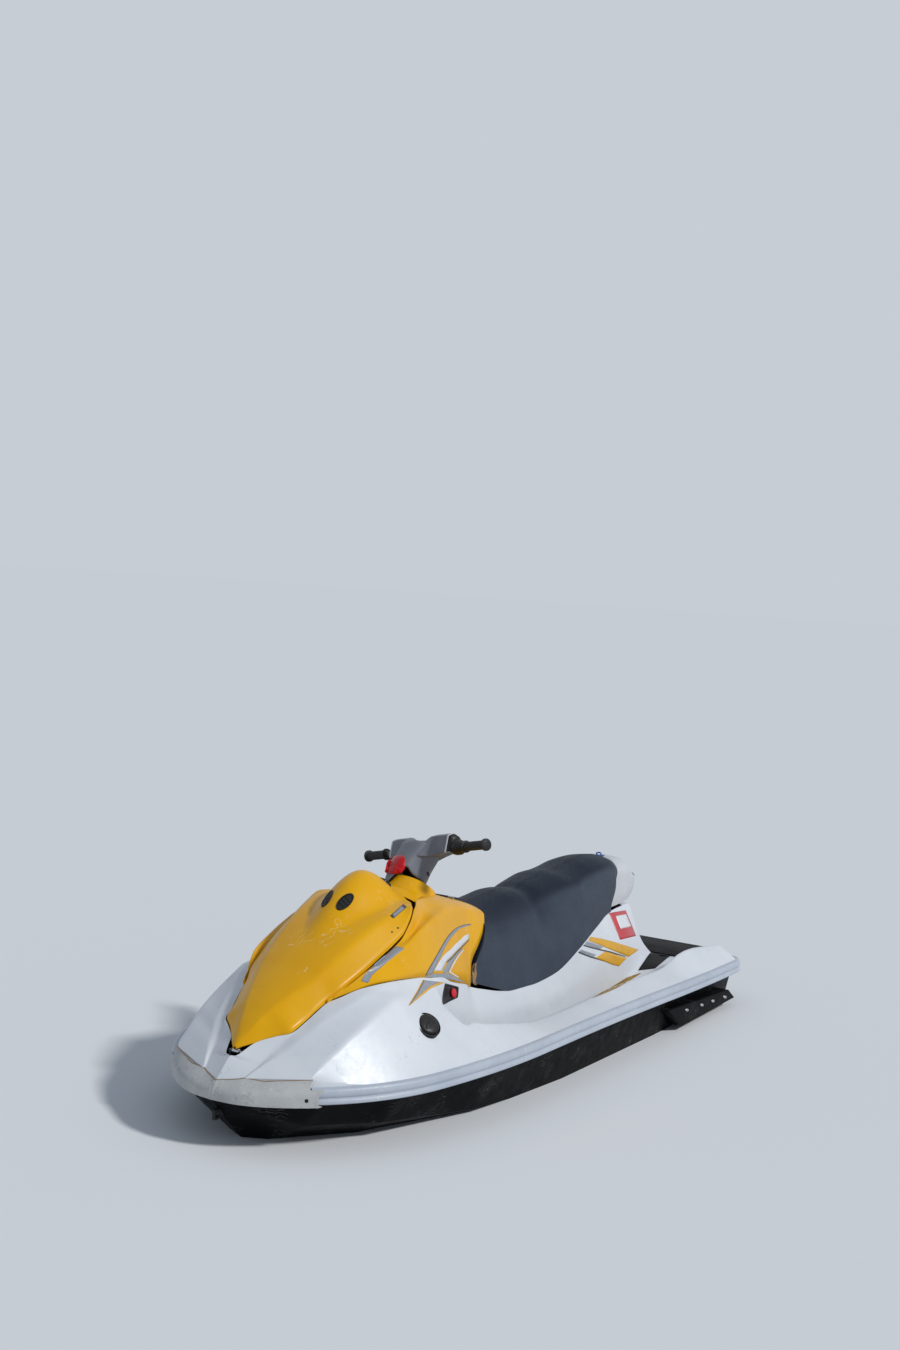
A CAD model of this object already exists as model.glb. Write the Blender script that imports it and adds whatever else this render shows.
"""Looks of a personal watercraft, built in Blender over its fixed CAD frame.

Lengths in the tables are millimetres in the frame of the CAD: bow along +X, port +Y, up +Z,
origin on the centreline, midships, at the waterline. Meshes are written in metres.
"""
import logging
from dataclasses import dataclass
from enum import Enum
from typing import Iterable, Sequence

import bmesh
import bpy
import numpy as np
from mathutils import Matrix, Vector


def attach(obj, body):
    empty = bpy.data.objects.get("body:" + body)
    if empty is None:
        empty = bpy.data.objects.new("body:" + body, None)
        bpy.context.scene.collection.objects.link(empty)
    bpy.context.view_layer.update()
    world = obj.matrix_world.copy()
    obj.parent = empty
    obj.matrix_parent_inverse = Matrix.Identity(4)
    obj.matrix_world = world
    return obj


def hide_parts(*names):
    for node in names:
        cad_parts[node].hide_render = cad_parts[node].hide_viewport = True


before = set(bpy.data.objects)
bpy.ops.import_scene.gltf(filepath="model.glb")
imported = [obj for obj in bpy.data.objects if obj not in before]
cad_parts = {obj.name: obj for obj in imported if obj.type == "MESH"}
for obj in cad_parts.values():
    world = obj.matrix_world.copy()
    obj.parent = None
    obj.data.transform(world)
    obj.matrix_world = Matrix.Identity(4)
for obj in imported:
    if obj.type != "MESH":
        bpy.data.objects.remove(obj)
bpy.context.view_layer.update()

Array = np.ndarray
log = logging.getLogger("watercraft")


# Shapes as whole arrays

def flow(net: Array, count: int) -> Array:
    """Carry each column of a control net smoothly from row to row.

    In words: a cubic through the rows on their mean chord length, whose slope at a row leans
    to the side that bends less, so that straight runs stay straight and nothing overshoots.

    Args:
        net: Control points, rows by columns by xyz.
        count: Number of rows wanted.

    Returns:
        Points, count by columns by xyz.
    """
    step = np.linalg.norm(np.diff(net, axis=0), axis=2).mean(axis=1)
    place = np.concatenate([[0.0], np.cumsum(np.maximum(step, 1e-6))])
    chord = np.diff(net, axis=0) / np.diff(place)[:, None, None]
    first, last = chord[1] - chord[0], chord[-1] - chord[-2]
    chord = np.concatenate([[chord[0] - 2 * first, chord[0] - first], chord,
                            [chord[-1] + last, chord[-1] + 2 * last]])
    far_back, back, ahead, far_ahead = chord[:-3], chord[1:-2], chord[2:-1], chord[3:]
    weight_back = abs(far_ahead - ahead) + abs(far_ahead + ahead) / 2
    weight_ahead = abs(back - far_back) + abs(back + far_back) / 2
    slope = (weight_back * back + weight_ahead * ahead) / np.maximum(weight_back + weight_ahead, 1e-9)
    wanted = np.linspace(0.0, place[-1], count)
    i = np.clip(np.searchsorted(place, wanted, side="right") - 1, 0, len(place) - 2)
    width = (place[i + 1] - place[i])[:, None, None]
    t = (wanted - place[i])[:, None, None] / width
    blend = (2 * t**3 - 3 * t**2 + 1) * net[i] + (3 * t**2 - 2 * t**3) * net[i + 1]
    return blend + (t**3 - 2 * t**2 + t) * width * slope[i] + (t**3 - t**2) * width * slope[i + 1]


def rounded(lines: Array, cuts: Sequence[float], run: int = 3, turn: int = 5) -> Array:
    """Join each row's points by straight runs, with every corner rounded.

    In words: a corner is left out from its cut before it to its cut after it, and a parabola
    through the corner's control point takes its place. A cut is at most 0.48 of either side.

    Args:
        lines: Points, rows by columns by xyz.
        cuts: How far each column's corner is cut back, in mm.
        run: Steps on a straight run.
        turn: Steps round a corner.

    Returns:
        Points, rows by (runs and corners) by xyz.
    """
    leg = np.diff(lines, axis=1)
    length = np.linalg.norm(leg, axis=2, keepdims=True)
    way = leg / np.maximum(length, 1e-9)
    on_run = np.linspace(0, 1, run + 1)[None, :-1, None]
    on_turn = np.linspace(0, 1, turn + 1)[None, :-1, None]
    parts, start = [], lines[:, 0]
    for j in range(1, lines.shape[1] - 1):
        cut = np.minimum(cuts[j], 0.48 * np.minimum(length[:, j - 1], length[:, j]))
        enter, leave = lines[:, j] - way[:, j - 1] * cut, lines[:, j] + way[:, j] * cut
        parts.append(start[:, None] + (enter - start)[:, None] * on_run)
        parts.append((1 - on_turn)**2 * enter[:, None] + 2 * on_turn * (1 - on_turn) * lines[:, j, None]
                     + on_turn**2 * leave[:, None])
        start = leave
    parts.append(start[:, None] + (lines[:, -1] - start)[:, None] * on_run)
    parts.append(lines[:, -1:])
    return np.concatenate(parts, axis=1)


def both_halves(port: Array) -> Array:
    """Whole rows from starboard edge to port edge, from rows that start on the centreline."""
    return np.concatenate([port[:, :0:-1] * [1, -1, 1], port], axis=1)


def starboard(grid: Array) -> Array:
    """Mirror image of a port grid, with its rows turned round so that its faces stay outward."""
    return (grid * [1, -1, 1])[:, ::-1]


def squircle(long: float, short: float, powers: tuple[float, float] = (0.5, 1.0), count: int = 49) -> Array:
    """Closed superellipse in its own plane: half axes times cosine and sine, each to its own power."""
    bend = np.linspace(0, 2 * np.pi, count)
    cosine, sine = np.cos(bend), np.sin(bend)
    return np.stack([long * np.sign(cosine) * abs(cosine)**powers[0],
                     short * np.sign(sine) * abs(sine)**powers[1]], axis=1)


def lathe(profile: Sequence[tuple[float, float]], count: int = 48) -> Array:
    """Turn a profile of (radius, height) about the local Z axis; rows go up the profile."""
    line = np.array(profile, float)
    turn = np.linspace(0, 2 * np.pi, count + 1)
    flat = line[:, None, 0, None] * np.stack([np.cos(turn), np.sin(turn)], axis=1)[None]
    return np.concatenate([flat, np.broadcast_to(line[:, 1, None, None], (len(line), count + 1, 1))], axis=2)


def placed(grid: Array, origin: Sequence[float], up: Sequence[float],
           ahead: Sequence[float] = (1, 0, 0)) -> Array:
    """Take a grid from its own frame to the craft's.

    Args:
        grid: Points in the piece's own frame.
        origin: Where its origin goes.
        up: Direction of its Z axis.
        ahead: Direction that its X axis leans to.

    Returns:
        The same points in the craft's frame.
    """
    z = np.array(up, float) / np.linalg.norm(up)
    x = np.array(ahead, float) - np.dot(ahead, z) * z
    x /= np.linalg.norm(x)
    return grid @ np.stack([x, np.cross(z, x), z]) + np.array(origin, float)


def slab(outline: Array, low: float, high: float, edge: float = 1.0) -> list[Array]:
    """A plate with a rounded upper edge, from a closed outline in its own plane, as one grid of rings."""
    centre = outline.mean(axis=0)
    out = outline - centre
    reach = np.linalg.norm(out, axis=1, keepdims=True)
    rows = []
    for inset, z in ((1e6, low), (0, low), (0, high - edge), (0.3 * edge, high - 0.3 * edge), (edge, high),
                     (1e6, high)):
        keep = np.maximum(reach - inset, 0) / reach
        rows.append(np.concatenate([centre + out * keep, np.full((len(out), 1), z)], axis=1))
    return [np.stack(rows)]


class Gunwale:
    """Plan curve of the bumper rail as arcs, from the bow tip round to the stern corner."""

    LENGTH, HALF_BEAM = 3220.0, 585.0
    NOSE_R, NOSE_DEG, SHOULDER_DEG, SHOULDER_R = 333.0, 35.3, 79.2, 3450.0
    TAPER_X, TAPER_R, CORNER_R, CORNER_RUN = -700.0, 9100.0, 112.0, 102.0
    LOW_Z, HEIGHT, BOND_X, BOND_R = 175.0, 55.0, 250.0, 39000.0

    @classmethod
    def line(cls, inset: float, count: int = 1200) -> Array:
        """Port half of the outline drawn in by an inset, then half the transom, evenly spaced.

        Args:
            inset: How far inside the outline, in mm.
            count: Number of points.

        Returns:
            Points, count by xy.
        """
        nose, end = np.radians(cls.NOSE_DEG), np.radians(cls.SHOULDER_DEG)
        tip = cls.LENGTH / 2
        cheek_r = (cls.HALF_BEAM - cls.NOSE_R * np.sin(nose) - cls.SHOULDER_R * (1 - np.sin(end))) / (
            np.sin(end) - np.sin(nose))
        c1 = np.array([tip - cls.NOSE_R, 0.0])
        c2 = c1 + (cls.NOSE_R - cheek_r) * np.array([np.cos(nose), np.sin(nose)])
        c3 = c2 + (cheek_r - cls.SHOULDER_R) * np.array([np.cos(end), np.sin(end)])
        c4 = np.array([cls.TAPER_X, cls.HALF_BEAM - cls.TAPER_R])
        corner_x = cls.CORNER_RUN - tip
        sweep = np.arcsin((cls.TAPER_X - corner_x) / cls.TAPER_R)
        c5 = c4 + (cls.TAPER_R - cls.CORNER_R) * np.array([-np.sin(sweep), np.cos(sweep)])
        parts = [cls._arc(c1, cls.NOSE_R - inset, 0, nose), cls._arc(c2, cheek_r - inset, nose, end),
                 cls._arc(c3, cls.SHOULDER_R - inset, end, np.pi / 2),
                 cls._arc(c4, cls.TAPER_R - inset, np.pi / 2, np.pi / 2 + sweep),
                 cls._arc(c5, cls.CORNER_R - inset, np.pi / 2 + sweep, np.pi), ]
        parts.append(np.array([[parts[-1][-1, 0], 0.0]]))
        path = np.concatenate(parts)
        run = np.concatenate([[0], np.cumsum(np.linalg.norm(np.diff(path, axis=0), axis=1))])
        even = np.linspace(0, run[-1], count)
        return np.stack([np.interp(even, run, path[:, 0]), np.interp(even, run, path[:, 1])], axis=1)

    @staticmethod
    def _arc(centre: Array, radius: float, start: float, end: float) -> Array:
        """Points of one arc, 60 steps."""
        turn = np.linspace(start, end, 61)
        return centre + radius * np.stack([np.cos(turn), np.sin(turn)], axis=1)

    @classmethod
    def half_at(cls, x: Array, inset: float) -> Array:
        """Half width of the outline at stations x."""
        path = cls.line(inset)
        side = path[path[:, 1] > 1e-6]
        return np.interp(-np.asarray(x, float), -side[:, 0], side[:, 1])

    @classmethod
    def drop(cls, x: Array) -> Array:
        """How far the rail has dropped at stations x, on its long arc in side view."""
        run = np.maximum(0.0, cls.BOND_X - np.asarray(x, float))
        return cls.BOND_R - np.sqrt(cls.BOND_R**2 - run**2)


# Finishes

def linear(colour: str) -> tuple[float, float, float, float]:
    """Turn an sRGB hex colour into Blender's linear values."""
    srgb = np.array([int(colour[i:i + 2], 16) / 255 for i in (1, 3, 5)])
    return (*np.where(srgb <= 0.04045, srgb / 12.92, ((srgb + 0.055) / 1.055)**2.4).tolist(), 1.0)


def node(tree: bpy.types.NodeTree, kind: str, inputs: dict | None = None, **settings) -> bpy.types.Node:
    """Add one node with its settings and inputs.

    Args:
        tree: Node tree to add it to.
        kind: Blender's name of the node's type, without the leading ShaderNode.
        inputs: Value or output socket for each input, by name or number.
        settings: Properties to set on the node first.

    Returns:
        The new node.
    """
    made = tree.nodes.new("ShaderNode" + kind)
    for key, value in settings.items():
        setattr(made, key, value)
    for key, value in (inputs or {}).items():
        if isinstance(value, bpy.types.NodeSocket):
            tree.links.new(value, made.inputs[key])
        else:
            made.inputs[key].default_value = value
    return made


class Grain(Enum):
    """How a surface was made, which gives the relief the eye can find on it."""

    SPRAYED = "sprayed"
    PEBBLED = "pebbled"
    CAST = "cast"
    BRUSHED = "brushed"
    DIAMOND = "diamond"
    RIBBED = "ribbed"


@dataclass(frozen=True)
class Finish:
    """One real surface finish; sizes in mm and colours in sRGB hex."""

    name: str
    colour: str
    shade: str
    roughness: float
    grain: Grain
    grain_mm: float
    relief_mm: float
    mottle_mm: float = 120.0
    mottle: float = 0.6
    metallic: float = 0.0
    coat: float = 0.0
    coat_roughness: float = 0.3
    ior: float = 1.5
    dirt: str = "#8C8676"
    dirt_share: float = 0.10
    dirt_mm: float = 18.0
    scratch: str = "#FFFFFF"
    scratches: float = 0.0
    dust: float = 0.0
    sheen: float = 0.0
    # Colour that faces lying open to the sky have gone to, wet or bleached
    upper: str = ""

    def material(self) -> bpy.types.Material:
        """Make the finish as a material, or give the one already made."""
        made = bpy.data.materials.get(self.name)
        if made is not None:
            return made
        made = bpy.data.materials.new(self.name)
        made.use_nodes = True
        tree = made.node_tree
        tree.nodes.clear()
        where = node(tree, "TexCoord").outputs["Object"]
        colour, rough = self._colour(tree, where)
        bump = node(tree, "Bump", {"Strength": 1.0, "Distance": self.relief_mm / 1000,
                                   "Height": self._relief(tree, where)})
        shader = node(tree, "BsdfPrincipled", {
            "Base Color": colour, "Roughness": rough, "Normal": bump.outputs["Normal"],
            "Metallic": self.metallic, "IOR": self.ior, "Coat Weight": self.coat,
            "Coat Roughness": self.coat_roughness,
            "Sheen Weight": self.sheen, "Sheen Roughness": 0.5})
        node(tree, "OutputMaterial", {"Surface": shader.outputs["BSDF"]})
        return made

    def _colour(self, tree: bpy.types.NodeTree, where: bpy.types.NodeSocket) -> tuple:
        """Colour and roughness: slow fading, then dust on top, worn dirt specks and thin scratches.

        Args:
            tree: The material's tree.
            where: Object coordinates, in metres.

        Returns:
            The sockets of colour and roughness.
        """
        fade = node(tree, "TexNoise", {"Vector": where, "Scale": 1000 / self.mottle_mm, "Detail": 4.0,
                                       "Roughness": 0.6})
        tint = node(tree, "MapRange", {"Value": fade.outputs["Fac"], "From Min": 0.35, "From Max": 0.68,
                                       "To Max": self.mottle})
        colour = node(tree, "Mix", {"Factor": tint.outputs["Result"], "A": linear(self.colour),
                                    "B": linear(self.shade)},
                      data_type="RGBA").outputs["Result"]
        specks = node(tree, "TexNoise", {"Vector": where, "Scale": 1000 / self.dirt_mm, "Detail": 7.0,
                                         "Roughness": 0.72})
        grime = node(tree, "MapRange", {"Value": specks.outputs["Fac"],
                                        "From Min": 0.60 - 0.2 * self.dirt_share,
                                        "From Max": 0.80 - 0.2 * self.dirt_share,
                                        "To Max": min(1.0, self.dirt_share * 3)})
        colour = node(tree, "Mix", {"Factor": grime.outputs["Result"], "A": colour, "B": linear(self.dirt)},
                      data_type="RGBA").outputs["Result"]
        if self.upper:
            skyward = node(tree, "SeparateXYZ",
                           {"Vector": node(tree, "NewGeometry").outputs["Normal"]}).outputs["Z"]
            open_share = node(tree, "MapRange",
                              {"Value": skyward, "From Min": 0.22, "From Max": 0.80, "To Max": 0.92},
                              interpolation_type="SMOOTHSTEP")
            colour = node(tree, "Mix", {"Factor": open_share.outputs["Result"], "A": colour,
                                        "B": linear(self.upper)},
                          data_type="RGBA").outputs["Result"]
        if self.dust > 0:
            facing = node(tree, "SeparateXYZ",
                          {"Vector": node(tree, "NewGeometry").outputs["Normal"]}).outputs["Z"]
            lying = node(tree, "MapRange", {"Value": facing, "From Min": 0.5, "From Max": 1.0,
                                            "To Max": self.dust})
            patchy = node(tree, "Math", {0: lying.outputs["Result"], 1: fade.outputs["Fac"]},
                          operation="MULTIPLY")
            colour = node(tree, "Mix", {"Factor": patchy.outputs["Value"], "A": colour,
                                        "B": linear("#B9B3A2")},
                          data_type="RGBA").outputs["Result"]
        if self.scratches > 0:
            lines = node(tree, "TexWave", {"Vector": where, "Scale": 26.0, "Distortion": 9.0, "Detail": 4.0,
                                           "Detail Scale": 1.3}, bands_direction="DIAGONAL")
            thin = node(tree, "MapRange", {"Value": lines.outputs["Fac"], "From Min": 0.985, "From Max": 1.0})
            some = node(tree, "TexNoise", {"Vector": where, "Scale": 9.0, "Detail": 3.0})
            here = node(tree, "MapRange", {"Value": some.outputs["Fac"], "From Min": 0.56, "From Max": 0.62,
                                           "To Max": self.scratches})
            cut = node(tree, "Math", {0: thin.outputs["Result"], 1: here.outputs["Result"]},
                       operation="MULTIPLY")
            colour = node(tree, "Mix", {"Factor": cut.outputs["Value"], "A": colour,
                                        "B": linear(self.scratch)},
                          data_type="RGBA").outputs["Result"]
        rough = node(tree, "MapRange", {"Value": specks.outputs["Fac"], "From Min": 0.3, "From Max": 0.8,
                                        "To Min": self.roughness * 0.82,
                                        "To Max": min(1.0, self.roughness * 1.35)})
        return colour, rough.outputs["Result"]

    def _relief(self, tree: bpy.types.NodeTree, where: bpy.types.NodeSocket) -> bpy.types.NodeSocket:
        """Height of the fine relief, from 0 to 1, by how the surface was made."""
        scale = 1000 / self.grain_mm
        if self.grain is Grain.PEBBLED:
            return node(tree, "TexVoronoi", {"Vector": where, "Scale": scale, "Smoothness": 0.7},
                        feature="SMOOTH_F1").outputs["Distance"]
        if self.grain is Grain.BRUSHED:
            along = node(tree, "Mapping", {"Vector": where, "Scale": (0.06, 1.0, 1.0)}).outputs["Vector"]
            return node(tree, "TexNoise", {"Vector": along, "Scale": scale, "Detail": 3.0}).outputs["Fac"]
        if self.grain is Grain.DIAMOND:
            turned = node(tree, "Mapping", {"Vector": where, "Rotation": (0, 0, np.pi / 4)}).outputs["Vector"]
            return node(tree, "TexVoronoi", {"Vector": turned, "Scale": scale, "Randomness": 0.0},
                        feature="F1", distance="CHEBYCHEV").outputs["Distance"]
        if self.grain is Grain.RIBBED:
            return node(tree, "TexWave", {"Vector": where, "Scale": scale / 6.3},
                        bands_direction="Z").outputs["Fac"]
        detail = 6.0 if self.grain is Grain.CAST else 1.5
        return node(tree, "TexNoise", {"Vector": where, "Scale": scale, "Detail": detail}).outputs["Fac"]


# White gelcoat, sprayed in the mould: deep gloss gone slightly chalky, with salt and sand on it
WHITE = Finish("Gelcoat white, moulded gloss", "#DDE0E4", "#CDD2D9", 0.4, Grain.SPRAYED, 7, 0.05, 260, 0.7,
               coat=0.15, dirt="#A79F8C", dirt_share=0.07, dirt_mm=34, scratch="#8F8D88", scratches=0.35)
# Yellow gelcoat with mica, faded towards orange where it is thin
YELLOW = Finish("Gelcoat yellow, moulded gloss", "#EBAD00", "#E2A100", 0.34, Grain.SPRAYED, 6, 0.05, 180, 0.6,
                coat=0.12, ior=1.3, dirt="#B98A1E", dirt_share=0.08, dirt_mm=26, scratch="#F4E7B8",
                scratches=0.8)
# Black gelcoat of the hull: dull with salt and sand scuffs
HULL_BLACK = Finish("Gelcoat black, moulded, salt dulled", "#030405", "#07080A", 0.5, Grain.SPRAYED, 9, 0.06,
                    150, 0.7,
                    ior=1.18, dirt="#34383A", dirt_share=0.04, dirt_mm=42, scratch="#9DA1A4", scratches=0.5)
# Extruded vinyl rubbing strake, gone chalky blue grey
RAIL_GREY = Finish("PVC rubbing strake, extruded, chalky", "#BAC1CB", "#A5ADBA", 0.42, Grain.CAST, 6, 0.08,
                   140, 0.6,
                   dirt="#7E8087", dirt_share=0.10, dirt_mm=16, scratch="#E6E9EC", scratches=0.5)
# Moulded polyurethane bow cover, scuffed pale
COVER_GREY = Finish("Polyurethane bow cover, moulded, scuffed", "#BEBFBE", "#ADAEAD", 0.62, Grain.CAST, 5,
                    0.18, 70, 0.8,
                    dirt="#7F7B74", dirt_share=0.22, dirt_mm=20, scratch="#E4E3DF", scratches=0.7)
# Marine vinyl over foam: fine leather print, satin
VINYL = Finish("Marine vinyl upholstery, leather print", "#3A424E", "#454E5B", 0.5, Grain.PEBBLED, 3.2, 0.16,
               160, 0.7,
               ior=1.24, dirt="#5A5E66", dirt_share=0.03, dirt_mm=12, upper="#151D2B")
# Open foam where the seat's cover is torn
FOAM = Finish("Polyurethane foam, torn open", "#A88558", "#8B6A42", 0.9, Grain.CAST, 3, 1.2, 12, 0.8,
              dirt="#4C3A26", dirt_share=0.3, dirt_mm=5)
# Moulded polypropylene of the rear cover and pod
COVER_PLASTIC = Finish("Polypropylene cover, moulded grain", "#CFD0D3", "#BDBEC2", 0.5, Grain.PEBBLED, 2.6,
                       0.08, 110, 0.6,
                       dirt="#7C7B78", dirt_share=0.12, dirt_mm=15, scratch="#E9E9E7", scratches=0.4)
POD_GREY = Finish("ABS steering cover, moulded satin", "#6A6D76", "#7B7E87", 0.42, Grain.PEBBLED, 2.4, 0.06,
                  80, 0.6,
                  dirt="#5A5A5E", dirt_share=0.08, dirt_mm=14, scratch="#D3D3D5", scratches=0.3, dust=0.15)
# Closed-cell foam mat with pressed diamonds
MAT = Finish("EVA deck mat, pressed", "#0A0C11", "#141821", 0.85, Grain.DIAMOND, 9, 0.9, 90, 0.6,
             ior=1.3, dirt="#4A473F", dirt_share=0.10, dirt_mm=14, dust=0.06)
BLACK_PLASTIC = Finish("Glass-filled nylon, moulded", "#090A0B", "#131416", 0.42, Grain.PEBBLED, 1.8, 0.06,
                       60, 0.5,
                       ior=1.4, dirt="#3C3B39", dirt_share=0.06, dirt_mm=9, dust=0.05)
GRIP_RUBBER = Finish("Grip rubber, moulded", "#070708", "#0F0F11", 0.62, Grain.PEBBLED, 1.6, 0.12, 40, 0.5,
                     dirt="#3E3D3A", dirt_share=0.10, dirt_mm=8)
RED = Finish("Polycarbonate trim, red", "#C4000E", "#D40E1C", 0.3, Grain.SPRAYED, 5, 0.03, 40, 0.6,
             coat=0.15, ior=1.35,
             dirt="#7A2A22", dirt_share=0.08, dirt_mm=8)
STEEL = Finish("Stainless steel, brushed", "#C4C6C8", "#AEB0B2", 0.28, Grain.BRUSHED, 0.8, 0.02, 30, 0.4,
               metallic=1.0,
               dirt="#7B6E5E", dirt_share=0.06, dirt_mm=6)
ALLOY = Finish("Aluminium, sand cast and painted", "#6F7276", "#5D6063", 0.5, Grain.CAST, 2.5, 0.15, 60, 0.6,
               metallic=0.6,
               dirt="#4B4A45", dirt_share=0.15, dirt_mm=14)
DARK_PLASTIC = Finish("Polyethylene liner, moulded", "#1A1B1E", "#26282C", 0.55, Grain.PEBBLED, 2.4, 0.08,
                      80, 0.6,
                      dirt="#56534B", dirt_share=0.10, dirt_mm=14, dust=0.2)
GLASS = Finish("Acrylic meter lens, smoked", "#14181A", "#1F2628", 0.08, Grain.SPRAYED, 8, 0.01, 50, 0.4,
               coat=0.8,
               dirt="#45443F", dirt_share=0.05, dirt_mm=8)
STRIPE_GREY = Finish("Vinyl film stripe, silver grey", "#8A9098", "#9DA3AB", 0.35, Grain.SPRAYED, 2, 0.01,
                     30, 0.6, coat=0.3,
                     dirt="#6C6D6E", dirt_share=0.12, dirt_mm=7)
STRIPE_WHITE = Finish("Vinyl film stripe, white", "#E6E7E8", "#CFD3D8", 0.35, Grain.SPRAYED, 2, 0.01, 30,
                      0.6, coat=0.3,
                      dirt="#8A8A86", dirt_share=0.10, dirt_mm=7)
STRIPE_YELLOW = Finish("Vinyl film stripe, yellow", "#DDA000", "#E8B21C", 0.35, Grain.SPRAYED, 2, 0.01, 30,
                       0.6, coat=0.3,
                       dirt="#8A7A46", dirt_share=0.10, dirt_mm=7)
STRIPE_DARK = Finish("Vinyl film stripe, charcoal", "#33363C", "#44474E", 0.35, Grain.SPRAYED, 2, 0.01, 30,
                     0.6, coat=0.3,
                     dirt="#6A6A66", dirt_share=0.10, dirt_mm=7)
# Brown line of old glue and grime along the edge of the bow cover
STAIN = Finish("Glue and grime line", "#8E7358", "#A58A6C", 0.8, Grain.CAST, 3, 0.05, 20, 0.7,
               dirt="#6A5340", dirt_share=0.3, dirt_mm=6)
# Nylon cord that ties the grab cover down
TIE_BLUE = Finish("Nylon cord, blue", "#2A5FA8", "#3A72BC", 0.7, Grain.RIBBED, 2, 0.2, 20, 0.5,
                  dirt="#27415F", dirt_share=0.1, dirt_mm=5)
STRIPE_GOLD = Finish("Vinyl film stripe, bronze gold", "#8A6A1E", "#A07E2C", 0.4, Grain.SPRAYED, 2, 0.01, 30,
                     0.6, coat=0.2,
                     dirt="#6B5B33", dirt_share=0.12, dirt_mm=7)
PLATE_RED = Finish("Acrylic plate, red, blank", "#C2202B", "#D13A40", 0.3, Grain.SPRAYED, 4, 0.02, 40, 0.5,
                   coat=0.4,
                   dirt="#8C5A50", dirt_share=0.14, dirt_mm=9)


# Pieces

def outward(grid: Array, core: Sequence[float] | None) -> bool:
    """Whether a grid's faces already point away from a core point, or from its own middle."""
    a, b, c, d = grid[:-1, :-1], grid[1:, :-1], grid[1:, 1:], grid[:-1, 1:]
    normal = np.cross(c - a, d - b)
    middle = (a + b + c + d) / 4
    away = middle - (grid.reshape(-1, 3).mean(axis=0) if core is None else np.array(core, float))
    return bool((normal * away).sum() > 0)


def piece(name: str, grids: Iterable[Array], body: str, finish: Finish,
          stands_for: Sequence[str] = (),
          core: Sequence[float] | None = None, sharp: float = 32.0, thick: float = 0.0,
          weld: float = 0.02) -> bpy.types.Object:
    """Make one piece from grids of points, dress it and hand it to its body.

    Args:
        name: Name of the piece.
        grids: Grids of points in mm, rows by columns by xyz; each becomes a sheet of faces.
        body: Body that it rides on.
        finish: Its finish.
        stands_for: CAD nodes that it stands for.
        core: Point that every face points away from; each grid's own middle if left out.
        sharp: Edges with more bend than this, in degrees, are left crisp.
        thick: Wall that a sheet gets on its inner side, in mm.
        weld: Distance within which points become one, in mm.

    Returns:
        The new object.
    """
    points, faces, base = [], [], 0
    for grid in grids:
        rows, columns = grid.shape[:2]
        index = np.arange(rows * columns).reshape(rows, columns) + base
        quads = np.stack([index[:-1, :-1], index[1:, :-1], index[1:, 1:], index[:-1, 1:]],
                         axis=-1).reshape(-1, 4)
        faces.append(quads if outward(grid, core) else quads[:, ::-1])
        points.append(grid.reshape(-1, 3))
        base += rows * columns
    mesh = bpy.data.meshes.new(name)
    mesh.from_pydata((np.concatenate(points) / 1000).tolist(), [], np.concatenate(faces).tolist())
    work = bmesh.new()
    work.from_mesh(mesh)
    bmesh.ops.remove_doubles(work, verts=work.verts, dist=weld / 1000)
    bmesh.ops.dissolve_degenerate(work, edges=work.edges, dist=1e-5)
    work.to_mesh(mesh)
    work.free()
    mesh.shade_smooth()
    mesh.set_sharp_from_angle(angle=np.radians(sharp))
    made = bpy.data.objects.new(name, mesh)
    bpy.context.scene.collection.objects.link(made)
    made.data.materials.append(finish.material())
    if thick:
        wall = made.modifiers.new("Wall", "SOLIDIFY")
        wall.thickness, wall.offset = thick / 1000, -1.0
    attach(made, body)
    if stands_for:
        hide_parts(*stands_for)
    log.info("%s: %d faces on %s", name, len(mesh.polygons), body)
    return made


def dress(name: str, finish: Finish, bevel: float = 0.8) -> bpy.types.Object:
    """Keep a CAD node, with its edges broken and a finish on it.

    Args:
        name: Name of the node.
        finish: Its finish.
        bevel: Width of the broken edges in mm, or 0 for none.

    Returns:
        The node's object.
    """
    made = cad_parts[name]
    made.data.materials.clear()
    made.data.materials.append(finish.material())
    made.data.polygons.foreach_set("material_index", [0] * len(made.data.polygons))
    made.modifiers.new("Join", "WELD").merge_threshold = 1e-5
    if bevel:
        edge = made.modifiers.new("Edge", "BEVEL")
        edge.width, edge.segments = bevel / 1000, 2
        edge.limit_method, edge.angle_limit = "ANGLE", np.radians(35)
        edge.use_clamp_overlap = True
    made.data.shade_smooth()
    split = made.modifiers.new("Crisp", "EDGE_SPLIT")
    split.split_angle = np.radians(32)
    return made


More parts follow.
